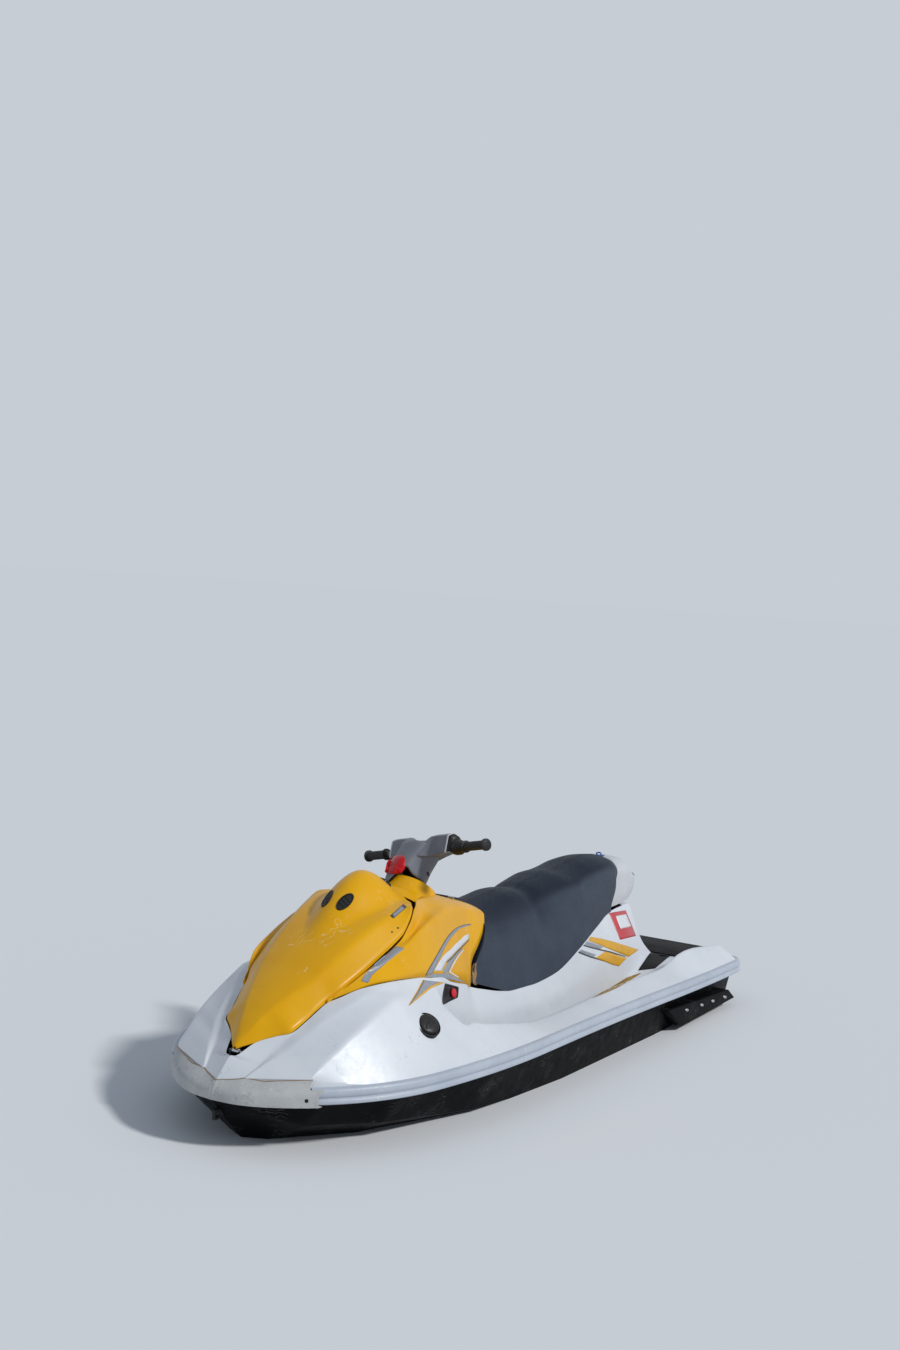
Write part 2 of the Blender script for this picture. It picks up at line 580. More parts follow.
class PhotoView:
    """The camera that took the photograph, in the craft's frame."""

    POSITION = np.array([6062.3, 3581.2, 2005.5])
    RIGHT = np.array([-0.52834, 0.84729, 0.05428])
    UP = np.array([-0.0317, -0.08357, 0.996])
    AHEAD = np.array([-0.84844, -0.52451, -0.07102])
    FOCAL_PX, CENTRE, LONG_SIDE = 1769.1, np.array([450.0, 675.0]), 1350.0

    @classmethod
    def rays(cls, pixels: Array) -> Array:
        """Directions of the rays through pixels of the photograph."""
        off = (np.asarray(pixels, float) - cls.CENTRE) / cls.FOCAL_PX
        return cls.AHEAD + off[..., :1] * cls.RIGHT - off[..., 1:] * cls.UP

    @classmethod
    def project(cls, points: Array) -> Array:
        """Pixels of points in the craft's frame."""
        away = np.asarray(points, float) - cls.POSITION
        depth = away @ cls.AHEAD
        flat = np.stack([away @ cls.RIGHT, -(away @ cls.UP)], axis=-1) / depth[..., None]
        return cls.CENTRE + flat * cls.FOCAL_PX

    @classmethod
    def strike(cls, pixels: Array, carrier: bpy.types.Object, lift: float | Array) -> Array:
        """Where rays through pixels meet a piece, lifted a little off it.

        In words: each ray is crossed with each triangle near it, and the nearest crossing counts.

        Args:
            pixels: Any shape, by 2.
            carrier: Piece that is struck.
            lift: How far the points stand off the surface, in mm, one for all or one each.

        Returns:
            Points, the pixels' shape by 3.
        """
        mesh = carrier.data
        mesh.calc_loop_triangles()
        co = np.empty(len(mesh.vertices) * 3)
        mesh.vertices.foreach_get("co", co)
        index = np.empty(len(mesh.loop_triangles) * 3, int)
        mesh.loop_triangles.foreach_get("vertices", index)
        tri = co.reshape(-1, 3)[index.reshape(-1, 3)] * 1000
        flat = np.asarray(pixels, float).reshape(-1, 2)
        seen = cls.project(tri)
        near = ((seen.max(axis=1) > flat.min(axis=0) - 1)
                & (seen.min(axis=1) < flat.max(axis=0) + 1)).all(axis=1)
        tri = tri[near]
        normal = np.cross(tri[:, 1] - tri[:, 0], tri[:, 2] - tri[:, 0])
        tri, normal = tri[normal @ cls.AHEAD < 0], normal[normal @ cls.AHEAD < 0]
        ray = cls.rays(flat)
        distance = ((tri[:, 0] - cls.POSITION) * normal).sum(axis=1) / (ray @ normal.T)
        hit = cls.POSITION + distance[..., None] * ray[:, None]
        inside = np.ones(distance.shape, bool)
        for a, b in ((0, 1), (1, 2), (2, 0)):
            edge = np.cross((tri[:, b] - tri[:, a])[None], hit - tri[None, :, a])
            inside &= (edge * normal[None]).sum(axis=2) >= -1e-3
        distance = np.where(inside, distance, np.inf)
        best, depth = distance.argmin(axis=1), distance.min(axis=1)
        met = np.flatnonzero(np.isfinite(depth))
        if len(met) < 0.6 * len(flat):
            raise ValueError(f"too few pixels meet {carrier.name}")
        # A pixel just past the piece's edge takes the depth and slope of the nearest one that meets it.
        near = met[np.linalg.norm(flat[:, None] - flat[None, met], axis=2).argmin(axis=1)]
        unit = normal / np.linalg.norm(normal, axis=1, keepdims=True)
        lifted = unit[best[near]] * np.broadcast_to(np.reshape(lift, (-1, 1)), (len(flat), 1))
        found = cls.POSITION + depth[near][:, None] * ray + lifted
        return found.reshape(*np.shape(pixels)[:-1], 3)

    @classmethod
    def spot(cls, centre: Sequence[float], radii: Sequence[float], tilt: float,
             steps: Sequence[tuple[float, float]],
             carrier: bpy.types.Object, count: int = 40) -> Array:
        """Rings of an oval that lie on a piece, each at its own height.

        Args:
            centre: Pixel of the oval's middle.
            radii: Its two half axes in pixels.
            tilt: Angle of the first half axis in the photograph, in degrees, downwards positive.
            steps: Size of each ring as a share of the oval, and its height off the surface in mm.
            carrier: Piece that it lies on.
            count: Points round a ring.

        Returns:
            Points, rings by count + 1 by 3.
        """
        turn, lean = np.linspace(0, 2 * np.pi, count + 1), np.radians(tilt)
        own = np.stack([radii[0] * np.cos(turn), radii[1] * np.sin(turn)], axis=1)
        own = own @ np.array([[np.cos(lean), np.sin(lean)], [-np.sin(lean), np.cos(lean)]])
        return cls.rings(np.array(centre, float) + own, steps, carrier)

    @classmethod
    def rings(cls, outline: Sequence[tuple[float, float]] | Array, steps: Sequence[tuple[float, float]],
              carrier: bpy.types.Object) -> Array:
        """Rings of a closed outline that shrink to its middle on a piece, with the steps of spot."""
        loop = np.array(outline, float)
        middle = loop[:-1].mean(axis=0)
        share, lift = np.array(steps, float).T
        pixels = middle + share[:, None, None] * (loop - middle)[None]
        return cls.strike(pixels, carrier, np.repeat(lift, len(loop)))


def ribbon(one: Sequence[tuple[float, float]], other: Sequence[tuple[float, float]], along: int = 40,
           wide: int = 5) -> Array:
    """Grid of pixels between two lines of pixels, each walked evenly by its length.

    Args:
        one: Corners of the first line.
        other: Corners of the second line.
        along: Number of points along.
        wide: Number of points across.

    Returns:
        Pixels, along by wide by 2.
    """
    sides = []
    for corners in (one, other):
        line = np.array(corners, float)
        run = np.concatenate([[0], np.cumsum(np.linalg.norm(np.diff(line, axis=0), axis=1))])
        even = np.linspace(0, run[-1], along)
        sides.append(np.stack([np.interp(even, run, line[:, i]) for i in (0, 1)], axis=1))
    share = np.linspace(0, 1, wide)[None, :, None]
    return sides[0][:, None] * (1 - share) + sides[1][:, None] * share


@dataclass
class Deck:
    """Deck moulding: bow facets, gunwales, footwells, seat pedestal and rear platform."""

    rail_inset: float = 22.0
    rows: int = 460

    # Bow rows: edge under the hood, valley, ridge, crease, then the rail's station x
    BOW = (
        ((1586, 0, 232), (1546, 84, 243), (1549, 90, 245), (1452, 283, 257), 1447),
        ((1548, 0, 272), (1519, 93, 261), (1527, 100, 262), (1424, 287, 279), 1402),
        ((1522, 0, 296), (1498, 102, 274), (1509, 111, 274), (1406, 290, 292), 1366),
        ((1514, 22, 300), (1480, 107, 287), (1493, 120, 285), (1391, 293, 303), 1345),
        ((1455, 52, 336), (1454, 116, 305), (1469, 134, 300), (1369, 298, 318), 1318),
        ((1408, 104, 358), (1408, 127, 338), (1426, 158, 324), (1328, 307, 342), 1272),
        ((1373, 142, 370), (1371, 146, 368), (1385, 180, 353), (1286, 314, 367), 1232),
        ((1323, 155, 396), (1322, 158, 395), (1339, 196, 381), (1239, 321, 388), 1188),
        ((1275, 168, 427), (1274, 171, 427), (1291, 212, 409), (1190, 327, 409), 1142),
        ((1236, 178, 450), (1235, 181, 450), (1240, 229, 433), (1138, 332, 430), 1096),
        ((1193, 204, 467), (1192, 207, 466), (1187, 249, 455), (1085, 338, 448), 1050),
        ((1127, 241, 491), (1126, 244, 490), (1113, 270, 483), (1030, 345, 464), 1000),
        ((1019, 288, 504), (1018, 292, 503), (1010, 304, 494), (965, 349, 456), 940),
        ((903, 295, 495), (903, 299, 493), (900, 312, 476), (880, 350, 428), 868),
        ((820, 293, 484), (820, 297, 480), (818, 314, 454), (808, 350, 405), 800),
    )
    # Side rows: x, edge y z, side y z, foot y z, outer foot y z, crest y z
    SIDE = (
        (757, 290, 471, 350, 386, 378, 364, 410, 342, 432, 326),
        (744, 289, 469, 346, 378, 376, 356, 410, 336, 434, 324),
        (730, 288, 467, 334, 372, 366, 330, 402, 312, 428, 326),
        (712, 287, 464, 322, 368, 352, 240, 412, 230, 428, 330),
        (694, 286, 461, 312, 360, 338, 140, 424, 135, 432, 332),
        (670, 284, 456, 306, 340, 328, 97, 430, 97, 440, 328),
        (640, 280, 447, 301, 330, 322, 95, 434, 95, 446, 321),
        (593, 272, 426, 296, 310, 316, 95, 437, 95, 449, 312),
        (520, 262, 404, 290, 290, 310, 95, 438, 95, 450, 298),
        (432, 246, 380, 282, 270, 306, 95, 438, 95, 450, 280),
        (366, 228, 355, 274, 255, 303, 95, 438, 95, 450, 268),
        (275, 228, 330, 268, 240, 300, 95, 438, 95, 450, 255),
        (117, 232, 295, 266, 225, 297, 95, 438, 95, 450, 251),
        (-114, 230, 277, 262, 210, 290, 95, 438, 95, 450, 254),
        (-330, 220, 284, 254, 210, 284, 95, 438, 95, 450, 262),
        (-577, 200, 344, 240, 240, 275, 95, 438, 95, 450, 262),
        (-760, 170, 396, 226, 270, 266, 95, 438, 95, 450, 259),
        (-851, 150, 422, 218, 290, 260, 96, 438, 96, 450, 260),
        (-900, 142, 430, 214, 300, 257, 112, 437, 112, 450, 268),
        (-1054, 128, 437, 200, 320, 248, 176, 432, 176, 450, 296),
        (-1120, 122, 438, 192, 310, 243, 202, 428, 202, 450, 298),
        (-1195, 118, 438, 184, 290, 236, 205, 424, 205, 447, 294),
        (-1240, 128, 340, 178, 262, 232, 206, 420, 206, 443, 288),
        (-1272, 148, 252, 174, 238, 214, 206, 418, 206, 440, 284),
        (-1286, 120, 206, 160, 206, 208, 205, 416, 205, 438, 282),
        (-1330, 120, 205, 165, 205, 212, 205, 414, 205, 436, 276),
        (-1440, 120, 205, 165, 205, 212, 205, 410, 205, 434, 262),
        (-1520, 120, 205, 165, 205, 212, 205, 404, 205, 428, 250),
        (-1566, 120, 203, 165, 203, 212, 203, 392, 204, 416, 238),
    )

    def net(self) -> Array:
        """Control net of the port half: axis, edge, valley, ridge, crease, foot, outer foot, crest, rail."""
        rows = []
        for edge, valley, ridge, crease, rail_x in self.BOW:
            rail = np.array([rail_x, *self._rail(rail_x)])
            crease = np.array(crease, float)
            slope = [crease + (rail - crease) * share for share in (0.18, 0.36, 0.55)]
            rows.append([edge, edge, valley, ridge, crease, *slope, rail])
        for x, ey, ez, sy, sz, fy, fz, oy, oz, ky, kz in self.SIDE:
            axis = (x, ey, ez) if x > -1180 else (x, 0, ez)
            rail_x = min(x, 757) if x > -1500 else x
            near = (x, ey + (sy - ey) * 0.10, ez + (sz - ez) * 0.10)
            mid = (x, ey + (sy - ey) * 0.45, ez + (sz - ez) * 0.45)
            rows.append([axis, (x, ey, ez), near, mid, (x, sy, sz), (x, fy, fz), (x, oy, oz), (x, ky, kz),
                         (rail_x, *self._rail(rail_x))])
        return np.array(rows, float)

    def _rail(self, x: float) -> tuple[float, float]:
        """Where the deck meets the rail's top: half width and height."""
        half = float(Gunwale.half_at(x, self.rail_inset))
        top = Gunwale.LOW_Z + Gunwale.HEIGHT - 1.5 - float(Gunwale.drop(x))
        return half, top + max(0.0, min(1.0, (x - 1290) / 150)) * 20

    def build(self) -> bpy.types.Object:
        """Make the deck skin, with its stern wall and the bin under the hood."""
        smooth = flow(self.net(), self.rows)
        port = rounded(smooth, (0, 6, 14, 12, 26, 34, 30, 22, 0), 4, 6)
        last = smooth[-1:]
        fall = np.concatenate([last, last * [1, 1, 0] + [-8, 0, 190], last * [1, 1, 0] + [-10, 0, 150]])
        stern = rounded(fall, (0, 6, 14, 12, 26, 34, 30, 22, 0), 4, 6)
        front = np.stack([port[0] - [4, 0, 34], port[0]])
        edge = port[port[:, -1, 0] > -1560, -1]
        skirt = np.stack([edge, edge - [0, 0, 30]], axis=1)
        halves = [port, stern, front, skirt]
        skin = piece("deck_skin", halves + [starboard(g) for g in halves], "craft", WHITE,
                     ["deck"], core=(0, 0, -2000), sharp=28)
        self._bin()
        return skin

    def _bin(self) -> None:
        """Liner of the storage bin: a ledge round its mouth, walls and a floor."""
        edge = np.array([(1455, 50, 322), (1373, 138, 352), (1275, 162, 410), (1180, 194, 472),
                         (1065, 219, 526), (936, 226, 585), (800, 215, 620), (760, 160, 622)], float)
        port = flow(np.stack([edge, edge], axis=1), 60)[:, 0]
        loop = np.concatenate([port, port[::-1] * [1, -1, 1]])
        loop = np.concatenate([loop, loop[:1]])
        centre = np.array([1090.0, 0.0, 0.0])
        rings = [loop, loop - [0, 0, 14]]
        for share, down in ((0.90, 20), (0.88, 34), (0.80, 34), (0.78, 24)):
            rings.append(centre * (1 - share) + loop * share + [0, 0, (1 - share) * loop[:, 2].mean()]
                         - [0, 0, down])
        mouth = np.stack([np.clip(rings[-1][:, 0], 905, 1265), np.clip(rings[-1][:, 1], -146, 146),
                          rings[-1][:, 2]], axis=1)
        flat = rings[-1][:, 2].mean() - 10
        rings.append(np.concatenate([mouth[:, :2], np.full((len(mouth), 1), flat)], axis=1))
        floor = np.concatenate([mouth[:, :2] * [0.99, 0.97] + [10, 0], np.full((len(mouth), 1), 240.0)],
                               axis=1)
        rings.append(floor)
        rings.append(np.broadcast_to([1090.0, 0.0, 240.0], floor.shape).copy())
        piece("bin_liner", [np.stack(rings)], "craft", DARK_PLASTIC, core=(1090, 0, -900),
              sharp=40)


@dataclass
class Hood:
    """Hinged hood with its instrument hump, vents and meter panel."""

    rows: int = 170

    # x, centre z, shoulder y z, wall foot y z, rim y z
    STATIONS = (
        (1500, 323, 3, 322, 5, 320, 6, 314),
        (1488, 337, 12, 333, 18, 329, 19, 322),
        (1460, 366, 20, 362, 44, 342, 46, 333),
        (1430, 396, 33, 393, 72, 355, 75, 341),
        (1400, 423, 45, 419, 104, 369, 108, 355),
        (1373, 446, 58, 441, 134, 384, 138, 369),
        (1323, 482, 82, 472, 147, 408, 151, 396),
        (1275, 514, 102, 500, 160, 441, 164, 428),
        (1225, 545, 122, 527, 174, 472, 178, 457),
        (1180, 575, 132, 557, 193, 502, 197, 488),
        (1124, 609, 143, 590, 207, 530, 210, 516),
        (1065, 643, 153, 624, 218, 558, 221, 544),
        (1003, 672, 163, 654, 225, 588, 228, 574),
        (936, 697, 173, 682, 231, 618, 233, 604),
        (880, 712, 180, 700, 235, 647, 237, 634),
        (820, 722, 181, 715, 224, 690, 227, 678),
        (775, 727, 172, 723, 206, 720, 209, 710),
        (750, 728, 150, 725, 186, 722, 188, 712),
    )
    # Hump: x, half width, height over the hood
    HUMP = ((1110, 20, 0), (1060, 62, 12), (1000, 90, 38), (940, 112, 68), (880, 130, 92), (816, 142, 103),
            (750, 142, 84), (700, 136, 48), (660, 124, 12), (640, 112, 0))

    def net(self) -> Array:
        """Control net of the port half: centre, shoulder, wall foot, rim."""
        rows = [[(x, 0, cz), (x, sy, sz), (x, wy, wz), (x, ry, rz)]
                for x, cz, sy, sz, wy, wz, ry, rz in self.STATIONS]
        rows.append([(648, 0, 722), (675, 96, 724), (722, 168, 720), (724, 172, 710)])
        return np.array(rows, float)

    def surface(self) -> Array:
        """The whole top, hump and all, from starboard rim to port rim."""
        smooth = flow(self.net(), self.rows)
        top = both_halves(self._crown(smooth))
        return self._with_hump(top)

    def _crown(self, smooth: Array) -> Array:
        """Port rows with a crowned top, a rounded shoulder, a wall and a rim."""
        share = np.linspace(0, 1, 22)[None, :, None]
        centre, shoulder = smooth[:, 0, None], smooth[:, 1, None]
        top = centre + (shoulder - centre) * share * [1, 1, 0] + (shoulder - centre) * share**2 * [0, 0, 1]
        side = rounded(smooth[:, 1:], (0, 5, 0), 10, 4)
        whole = np.concatenate([top[:, :-1], side], axis=1)
        # The shoulder is rounded by averaging each point with its neighbours, across only.
        for _ in range(3):
            whole[:, 1:-8] += 0.25 * (whole[:, :-9] - 2 * whole[:, 1:-8] + whole[:, 2:-7])
        return whole

    def _with_hump(self, top: Array) -> Array:
        """Raise the hump: its height falls off across as (1 - (y / half width) squared) to the power 1.6."""
        x, half, rise = np.array(self.HUMP, float)[::-1].T
        knots = np.stack([np.stack([x, half, rise], axis=1)] * 2, axis=1)
        line = flow(knots[::-1], 400)[::-1, 0]
        half_here = np.interp(top[..., 0], line[:, 0], line[:, 1])
        rise_here = np.interp(top[..., 0], line[:, 0], line[:, 2], left=0, right=0)
        off = np.clip(1 - (top[..., 1] / np.maximum(half_here, 1))**2, 0, 1)
        raised = top.copy()
        raised[..., 2] += rise_here * off**1.6
        return raised

    def build(self) -> bpy.types.Object:
        """Make the shell, its hinge barrel, the meter panel and the vents."""
        top = self.surface()
        shell = piece("hood_shell", [top], "hood", YELLOW, ["hood"], core=(1090, 0, 0),
                      sharp=34, thick=4)
        self._knuckle()
        self._meter()
        self._vents(shell)
        return shell

    def _vents(self, shell: bpy.types.Object) -> None:
        """Oval vent in each side of the hump: a black insert with a raised rim round three low bars."""
        centre, radii, tilt = (345.0, 902.0), (10.8, 5.6), -43.0
        steps = ((1.0, -1.0), (1.0, 3.0), (0.95, 4.2), (0.88, 3.8), (0.82, 0.8), (0.0, 0.6))
        grids = [PhotoView.spot(centre, radii, tilt, steps, shell, 56)]
        lean = np.radians(tilt)
        long_way, short_way = np.array([np.cos(lean), np.sin(lean)]), np.array([-np.sin(lean), np.cos(lean)])
        for share in (-0.45, 0.0, 0.45):
            reach = 0.78 * radii[1] * np.sqrt(1 - share**2)
            line = np.linspace(-reach, reach, 12)[:, None] * short_way
            line = line + np.array(centre) + share * radii[0] * 0.85 * long_way
            loop = line[:, None] + np.array([-0.9, -0.6, 0.6, 0.9])[None, :, None] * long_way
            grids.append(PhotoView.strike(loop, shell, np.tile([0.4, 2.4, 2.4, 0.4], len(line))))
        piece("hood_vent_liners", grids + [starboard(g) for g in grids], "hood", BLACK_PLASTIC,
              ["hood_vents"], core=(900, 0, 600), sharp=40)

    def _knuckle(self) -> None:
        """Hinge barrel of the hood on its pin, with the arm that carries it."""
        barrel = placed(lathe([(4.2, -14), (10, -14), (10, 14), (4.2, 14), (4.2, -14)], 32), (1486, 0, 304),
                        (0, 1, 0))
        corners = ((-12, 308), (-12, 322), (12, 322), (12, 308))
        arm = np.array([[(1479 + dx, y, z) for dx in (0, 14, 14, 0, 0)] for y, z in corners], float)
        piece("hood_knuckle", [barrel, arm], "hood", STEEL)

    def _meter(self) -> None:
        """Instrument panel on the rear slope of the hump: bezel and smoked lens."""
        place = dict(origin=(706, 0, 768), up=(-0.62, 0, 0.785), ahead=(0.785, 0, 0.62))
        oval = squircle(34, 57, (0.6, 0.6), 65)
        bezel = placed(slab(oval, -6, 9, 3)[0], **place)
        lens = placed(slab(oval * [0.78, 0.84], 8, 10.5, 1)[0], **place)
        piece("meter_bezel", [bezel], "hood", BLACK_PLASTIC, ["meter_panel"])
        piece("meter_lens", [lens], "hood", GLASS)


@dataclass
class Cowl:
    """Side cowls and steering cone, in one yellow moulding behind the hood."""

    rows: int = 240

    # x, lower edge y z, shoulder y z, valley y z, ridge y z, centre z
    STATIONS = (
        (1236, 174.5, 453, 176, 456, 178, 458, 180, 459, 0),
        (1190, 202, 470, 203, 482, 201, 488, 199, 489, 0),
        (1155, 224, 482, 222, 510, 213, 508, 209, 505, 0),
        (1100, 251, 496, 243, 546, 228, 538, 221, 530, 0),
        (1000, 289, 505, 265, 578, 245, 576, 234, 575, 0),
        (900, 295, 496, 275, 612, 252, 614, 242, 622, 0),
        (820, 293, 484, 268, 646, 240, 634, 232, 678, 0),
        (770, 290, 473, 260, 656, 224, 648, 214, 716, 0),
        (724, 287, 463, 252, 662, 212, 660, 190, 719, 0),
        (660, 282, 446, 238, 668, 198, 674, 150, 722, 0),
        (600, 273, 429, 224, 670, 184, 680, 132, 716, 0),
        (520, 262, 405, 205, 668, 166, 688, 118, 706, 712),
        (438, 247, 382, 184, 662, 146, 684, 100, 694, 698),
        (372, 230, 357, 172, 654, 134, 672, 92, 680, 686),
        (335, 207, 441, 164, 646, 126, 664, 88, 671, 677),
        (265, 192, 494, 154, 630, 116, 648, 80, 654, 659),
        (190, 168, 545, 142, 606, 108, 626, 74, 632, 637),
        (148, 141, 590, 130, 600, 100, 612, 70, 618, 622),
    )

    def net(self) -> Array:
        """Control net of the port half: lower edge, shoulder, valley, ridge, centre."""
        rows = []
        for x, ly, lz, sy, sz, vy, vz, ry, rz, cz in self.STATIONS:
            centre = (x, 0, cz) if cz else (x - 1, ry - 6, rz - 14)
            rows.append([(x, ly, lz), (x, sy, sz), (x, vy, vz), (x, ry, rz), centre])
        return np.array(rows, float)

    def build(self) -> bpy.types.Object:
        """Make the cowl skin and the cone round the steering column."""
        smooth = flow(self.net(), self.rows)
        port = rounded(smooth, (0, 26, 22, 16, 0), 5, 7)
        skin = piece("cowl_skin", [port, starboard(port)], "craft", YELLOW, ["cowl"],
                     core=(700, 0, 300), sharp=32, thick=3)
        self._cone()
        # Flange that the hood's rear corners lie on, so that the gap between them shows yellow.
        rim = np.array([(1065, 221, 544), (1003, 228, 574), (936, 233, 604), (880, 237, 634),
                        (820, 227, 678), (775, 209, 710), (750, 188, 712), (724, 172, 710)], float)
        line = flow(np.stack([rim + [4, 5, -13], rim + [-6, -14, -17]], axis=1), 50)
        piece("hood_ledge", [line, starboard(line)], "craft", YELLOW, core=(900, 0, -400),
              thick=1.5)
        return skin

    def _cone(self) -> None:
        """Cone round the steering column: rings that shrink up its leaning axis, over a spread foot."""
        turn = np.linspace(0, 2 * np.pi, 65)
        rows = []
        # height up the axis, half length, half width, shift aft
        for h, rx, ry, shift in ((-176, 190, 152, 14), (-140, 156, 130, 8), (-124, 122, 112, 2),
                                 (-100, 108, 102, 0), (-80, 100, 95, 0),
                                 (-70, 94, 90, 0), (-66, 84, 80, 0), (-66, 22, 22, 0)):
            rows.append(np.stack([rx * np.cos(turn) - shift, ry * np.sin(turn), np.full_like(turn, h)],
                                 axis=1))
        grid = placed(flow(np.stack(rows), 48), (410, 0, 775), (-0.573576, 0, 0.819152))
        piece("steering_cone", [grid], "craft", YELLOW, core=(470, 0, 640), sharp=40)


@dataclass
class Saddle:
    """Two-step padded seat, and the grab cover with its tie behind it."""

    # x, low y z, side y z, shoulder y z, centre z
    STATIONS = (
        (366, 214, 372, 206, 420, 190, 500, 520),
        (300, 232, 352, 200, 500, 166, 566, 588),
        (190, 236, 318, 190, 500, 142, 572, 604),
        (60, 235, 286, 184, 480, 134, 560, 609),
        (-60, 233, 280, 180, 474, 136, 556, 619),
        (-140, 231, 276, 178, 470, 142, 554, 626),
        (-215, 228, 278, 177, 470, 142, 556, 625),
        (-310, 222, 284, 176, 478, 116, 574, 613),
        (-380, 216, 293, 175, 488, 124, 592, 628),
        (-464, 209, 306, 174, 500, 132, 604, 640),
        (-550, 202, 332, 171, 514, 142, 612, 651),
        (-640, 192, 360, 167, 525, 142, 613, 652),
        (-729, 178, 384, 161, 532, 126, 630, 661),
        (-820, 163, 404, 154, 536, 130, 638, 674),
        (-914, 148, 427, 146, 540, 128, 638, 678),
        (-1012, 137, 437, 136, 540, 118, 626, 671),
        (-1088, 126, 442, 124, 540, 108, 606, 656),
    )

    def build(self) -> None:
        """Make the seat cushion, its torn edge and the grab cover."""
        rows = [[(x, 0, cz), (x, sy * 0.55, cz - 9), (x, sy, sz), (x, my, mz), (x, ly, lz)]
                for x, ly, lz, my, mz, sy, sz, cz in self.STATIONS]
        net = np.array(rows, float)
        smooth = flow(net, 190)
        smooth = self._nose(smooth)
        top = both_halves(rounded(smooth, (0, 40, 44, 60, 0), 5, 8))
        ends = [self._cap(top[0]), self._cap(top[-1])]
        seat = piece("seat_pad", [top, *ends], "craft", VINYL, ["seat"], core=(-350, 0, 380),
                     sharp=50)
        tears = (((471.5, 968), (473.5, 963.5), (476.6, 962.6), (476, 968), (476.8, 974), (475.6, 980),
                  (476.6, 985.6), (473, 984), (472.2, 976)),)
        grids = []
        for tear in tears:
            loop = np.array([*tear, tear[0]], float)
            grids.append(PhotoView.rings(ribbon(loop, loop, 40, 2)[:, 0],
                                         ((1.0, -0.6), (0.96, 1.2), (0.7, 0.3), (0, 1.0)), seat))
        piece("seat_tears", grids, "craft", FOAM, core=(0, 0, 400))
        self._grab_cover()

    def _nose(self, smooth: Array) -> Array:
        """Lean the front of the seat back to the slope it meets the cowl on.

        In words: no point may lie ahead of the line from (130, 615) down to (375, 357); one that
        does slides aft along X to that line.
        """
        x1, z1, x0, z0 = 130.0, 615.0, 375.0, 357.0
        limit = x1 + (smooth[..., 2] - z1) * (x0 - x1) / (z0 - z1) - 1.0
        moved = smooth.copy()
        moved[..., 0] = np.minimum(smooth[..., 0], limit)
        # The rear face leans ahead going down: no point lies aft of (-1088, 627) down to (-985, 450).
        moved[..., 0] = np.maximum(moved[..., 0], -1088 + 0.585 * np.maximum(0, 627 - smooth[..., 2]))
        return moved

    def _cap(self, edge: Array) -> Array:
        """Close an end by rows that shrink to its middle."""
        middle = np.array([edge[:, 0].mean(), 0.0, edge[:, 2].min() + 40])
        share = np.linspace(0, 1, 6)[:, None, None]
        return edge[None] * (1 - share) + middle * share

    # Grab cover: x, half width high, shoulder z, top z, half width low, low z
    COVER = ((-1098, 110, 606, 648, 124, 446), (-1112, 113, 609, 652, 128, 448),
             (-1150, 114, 608, 651, 130, 456),
             (-1195, 110, 600, 644, 125, 470), (-1225, 106, 586, 630, 120, 484),
             (-1252, 101, 568, 610, 114, 500),
             (-1272, 94, 550, 588, 106, 516), (-1281, 80, 540, 566, 90, 532))

    def _grab_cover(self) -> None:
        """Cover of the grab handle: a rounded shell behind the seat with a slot for the hand, and its tie."""
        rows = [[(x, 0, top), (x, high * 0.6, top - 4), (x, high, sh), (x, low, low_z + 40),
                 (x, low - 4, low_z)]
                for x, high, sh, top, low, low_z in self.COVER]
        smooth = flow(np.array(rows, float), 60)
        ahead = np.clip((smooth[..., 0] + 1170) / 72, 0, 1)
        smooth[..., 0] += ahead * 0.585 * np.maximum(0, 627 - smooth[..., 2])
        top = both_halves(rounded(smooth, (0, 30, 26, 40, 0), 4, 6))
        under = np.stack([top[:, 0], top[:, -1]], axis=1)
        piece("grab_cover", [top, under, self._cap(top[0]), self._cap(top[-1])], "craft", COVER_PLASTIC,
              ["rear_cover"], core=(-1170, 0, 540), sharp=45)
        oval = squircle(62, 21)
        mouth = [np.column_stack([np.full(len(oval), -1283.0 + deep), oval * k * [0.9, 0.7] + [0, 549]])
                 for deep, k in ((1.5, 1.16), (-1.0, 1.12), (-1.0, 1.02), (4, 0.98), (6, 0.0))]
        piece("grab_slot", [np.stack(mouth)], "craft", BLACK_PLASTIC, core=(-1170, 0, 540),
              sharp=50)
        knot = np.array([(-1088, 4, 652), (-1098, 14, 660), (-1104, 2, 666), (-1096, -10, 662),
                         (-1090, 2, 655), (-1108, 24, 656)], float)
        piece("grab_tie", [self._cord(knot, 3.0)], "craft", TIE_BLUE)

    def _cord(self, route: Array, radius: float) -> Array:
        """Round tube along a smooth line through a few points."""
        line = flow(np.stack([route, route], axis=1), 60)[:, 0]
        way = np.gradient(line, axis=0)
        way /= np.linalg.norm(way, axis=1, keepdims=True)
        side = np.cross(way, [0.3, 0.2, 1.0])
        side /= np.linalg.norm(side, axis=1, keepdims=True)
        up = np.cross(side, way)
        turn = np.linspace(0, 2 * np.pi, 13)
        return line[:, None] + radius * (np.cos(turn)[None, :, None] * side[:, None]
                                         + np.sin(turn)[None, :, None] * up[:, None])


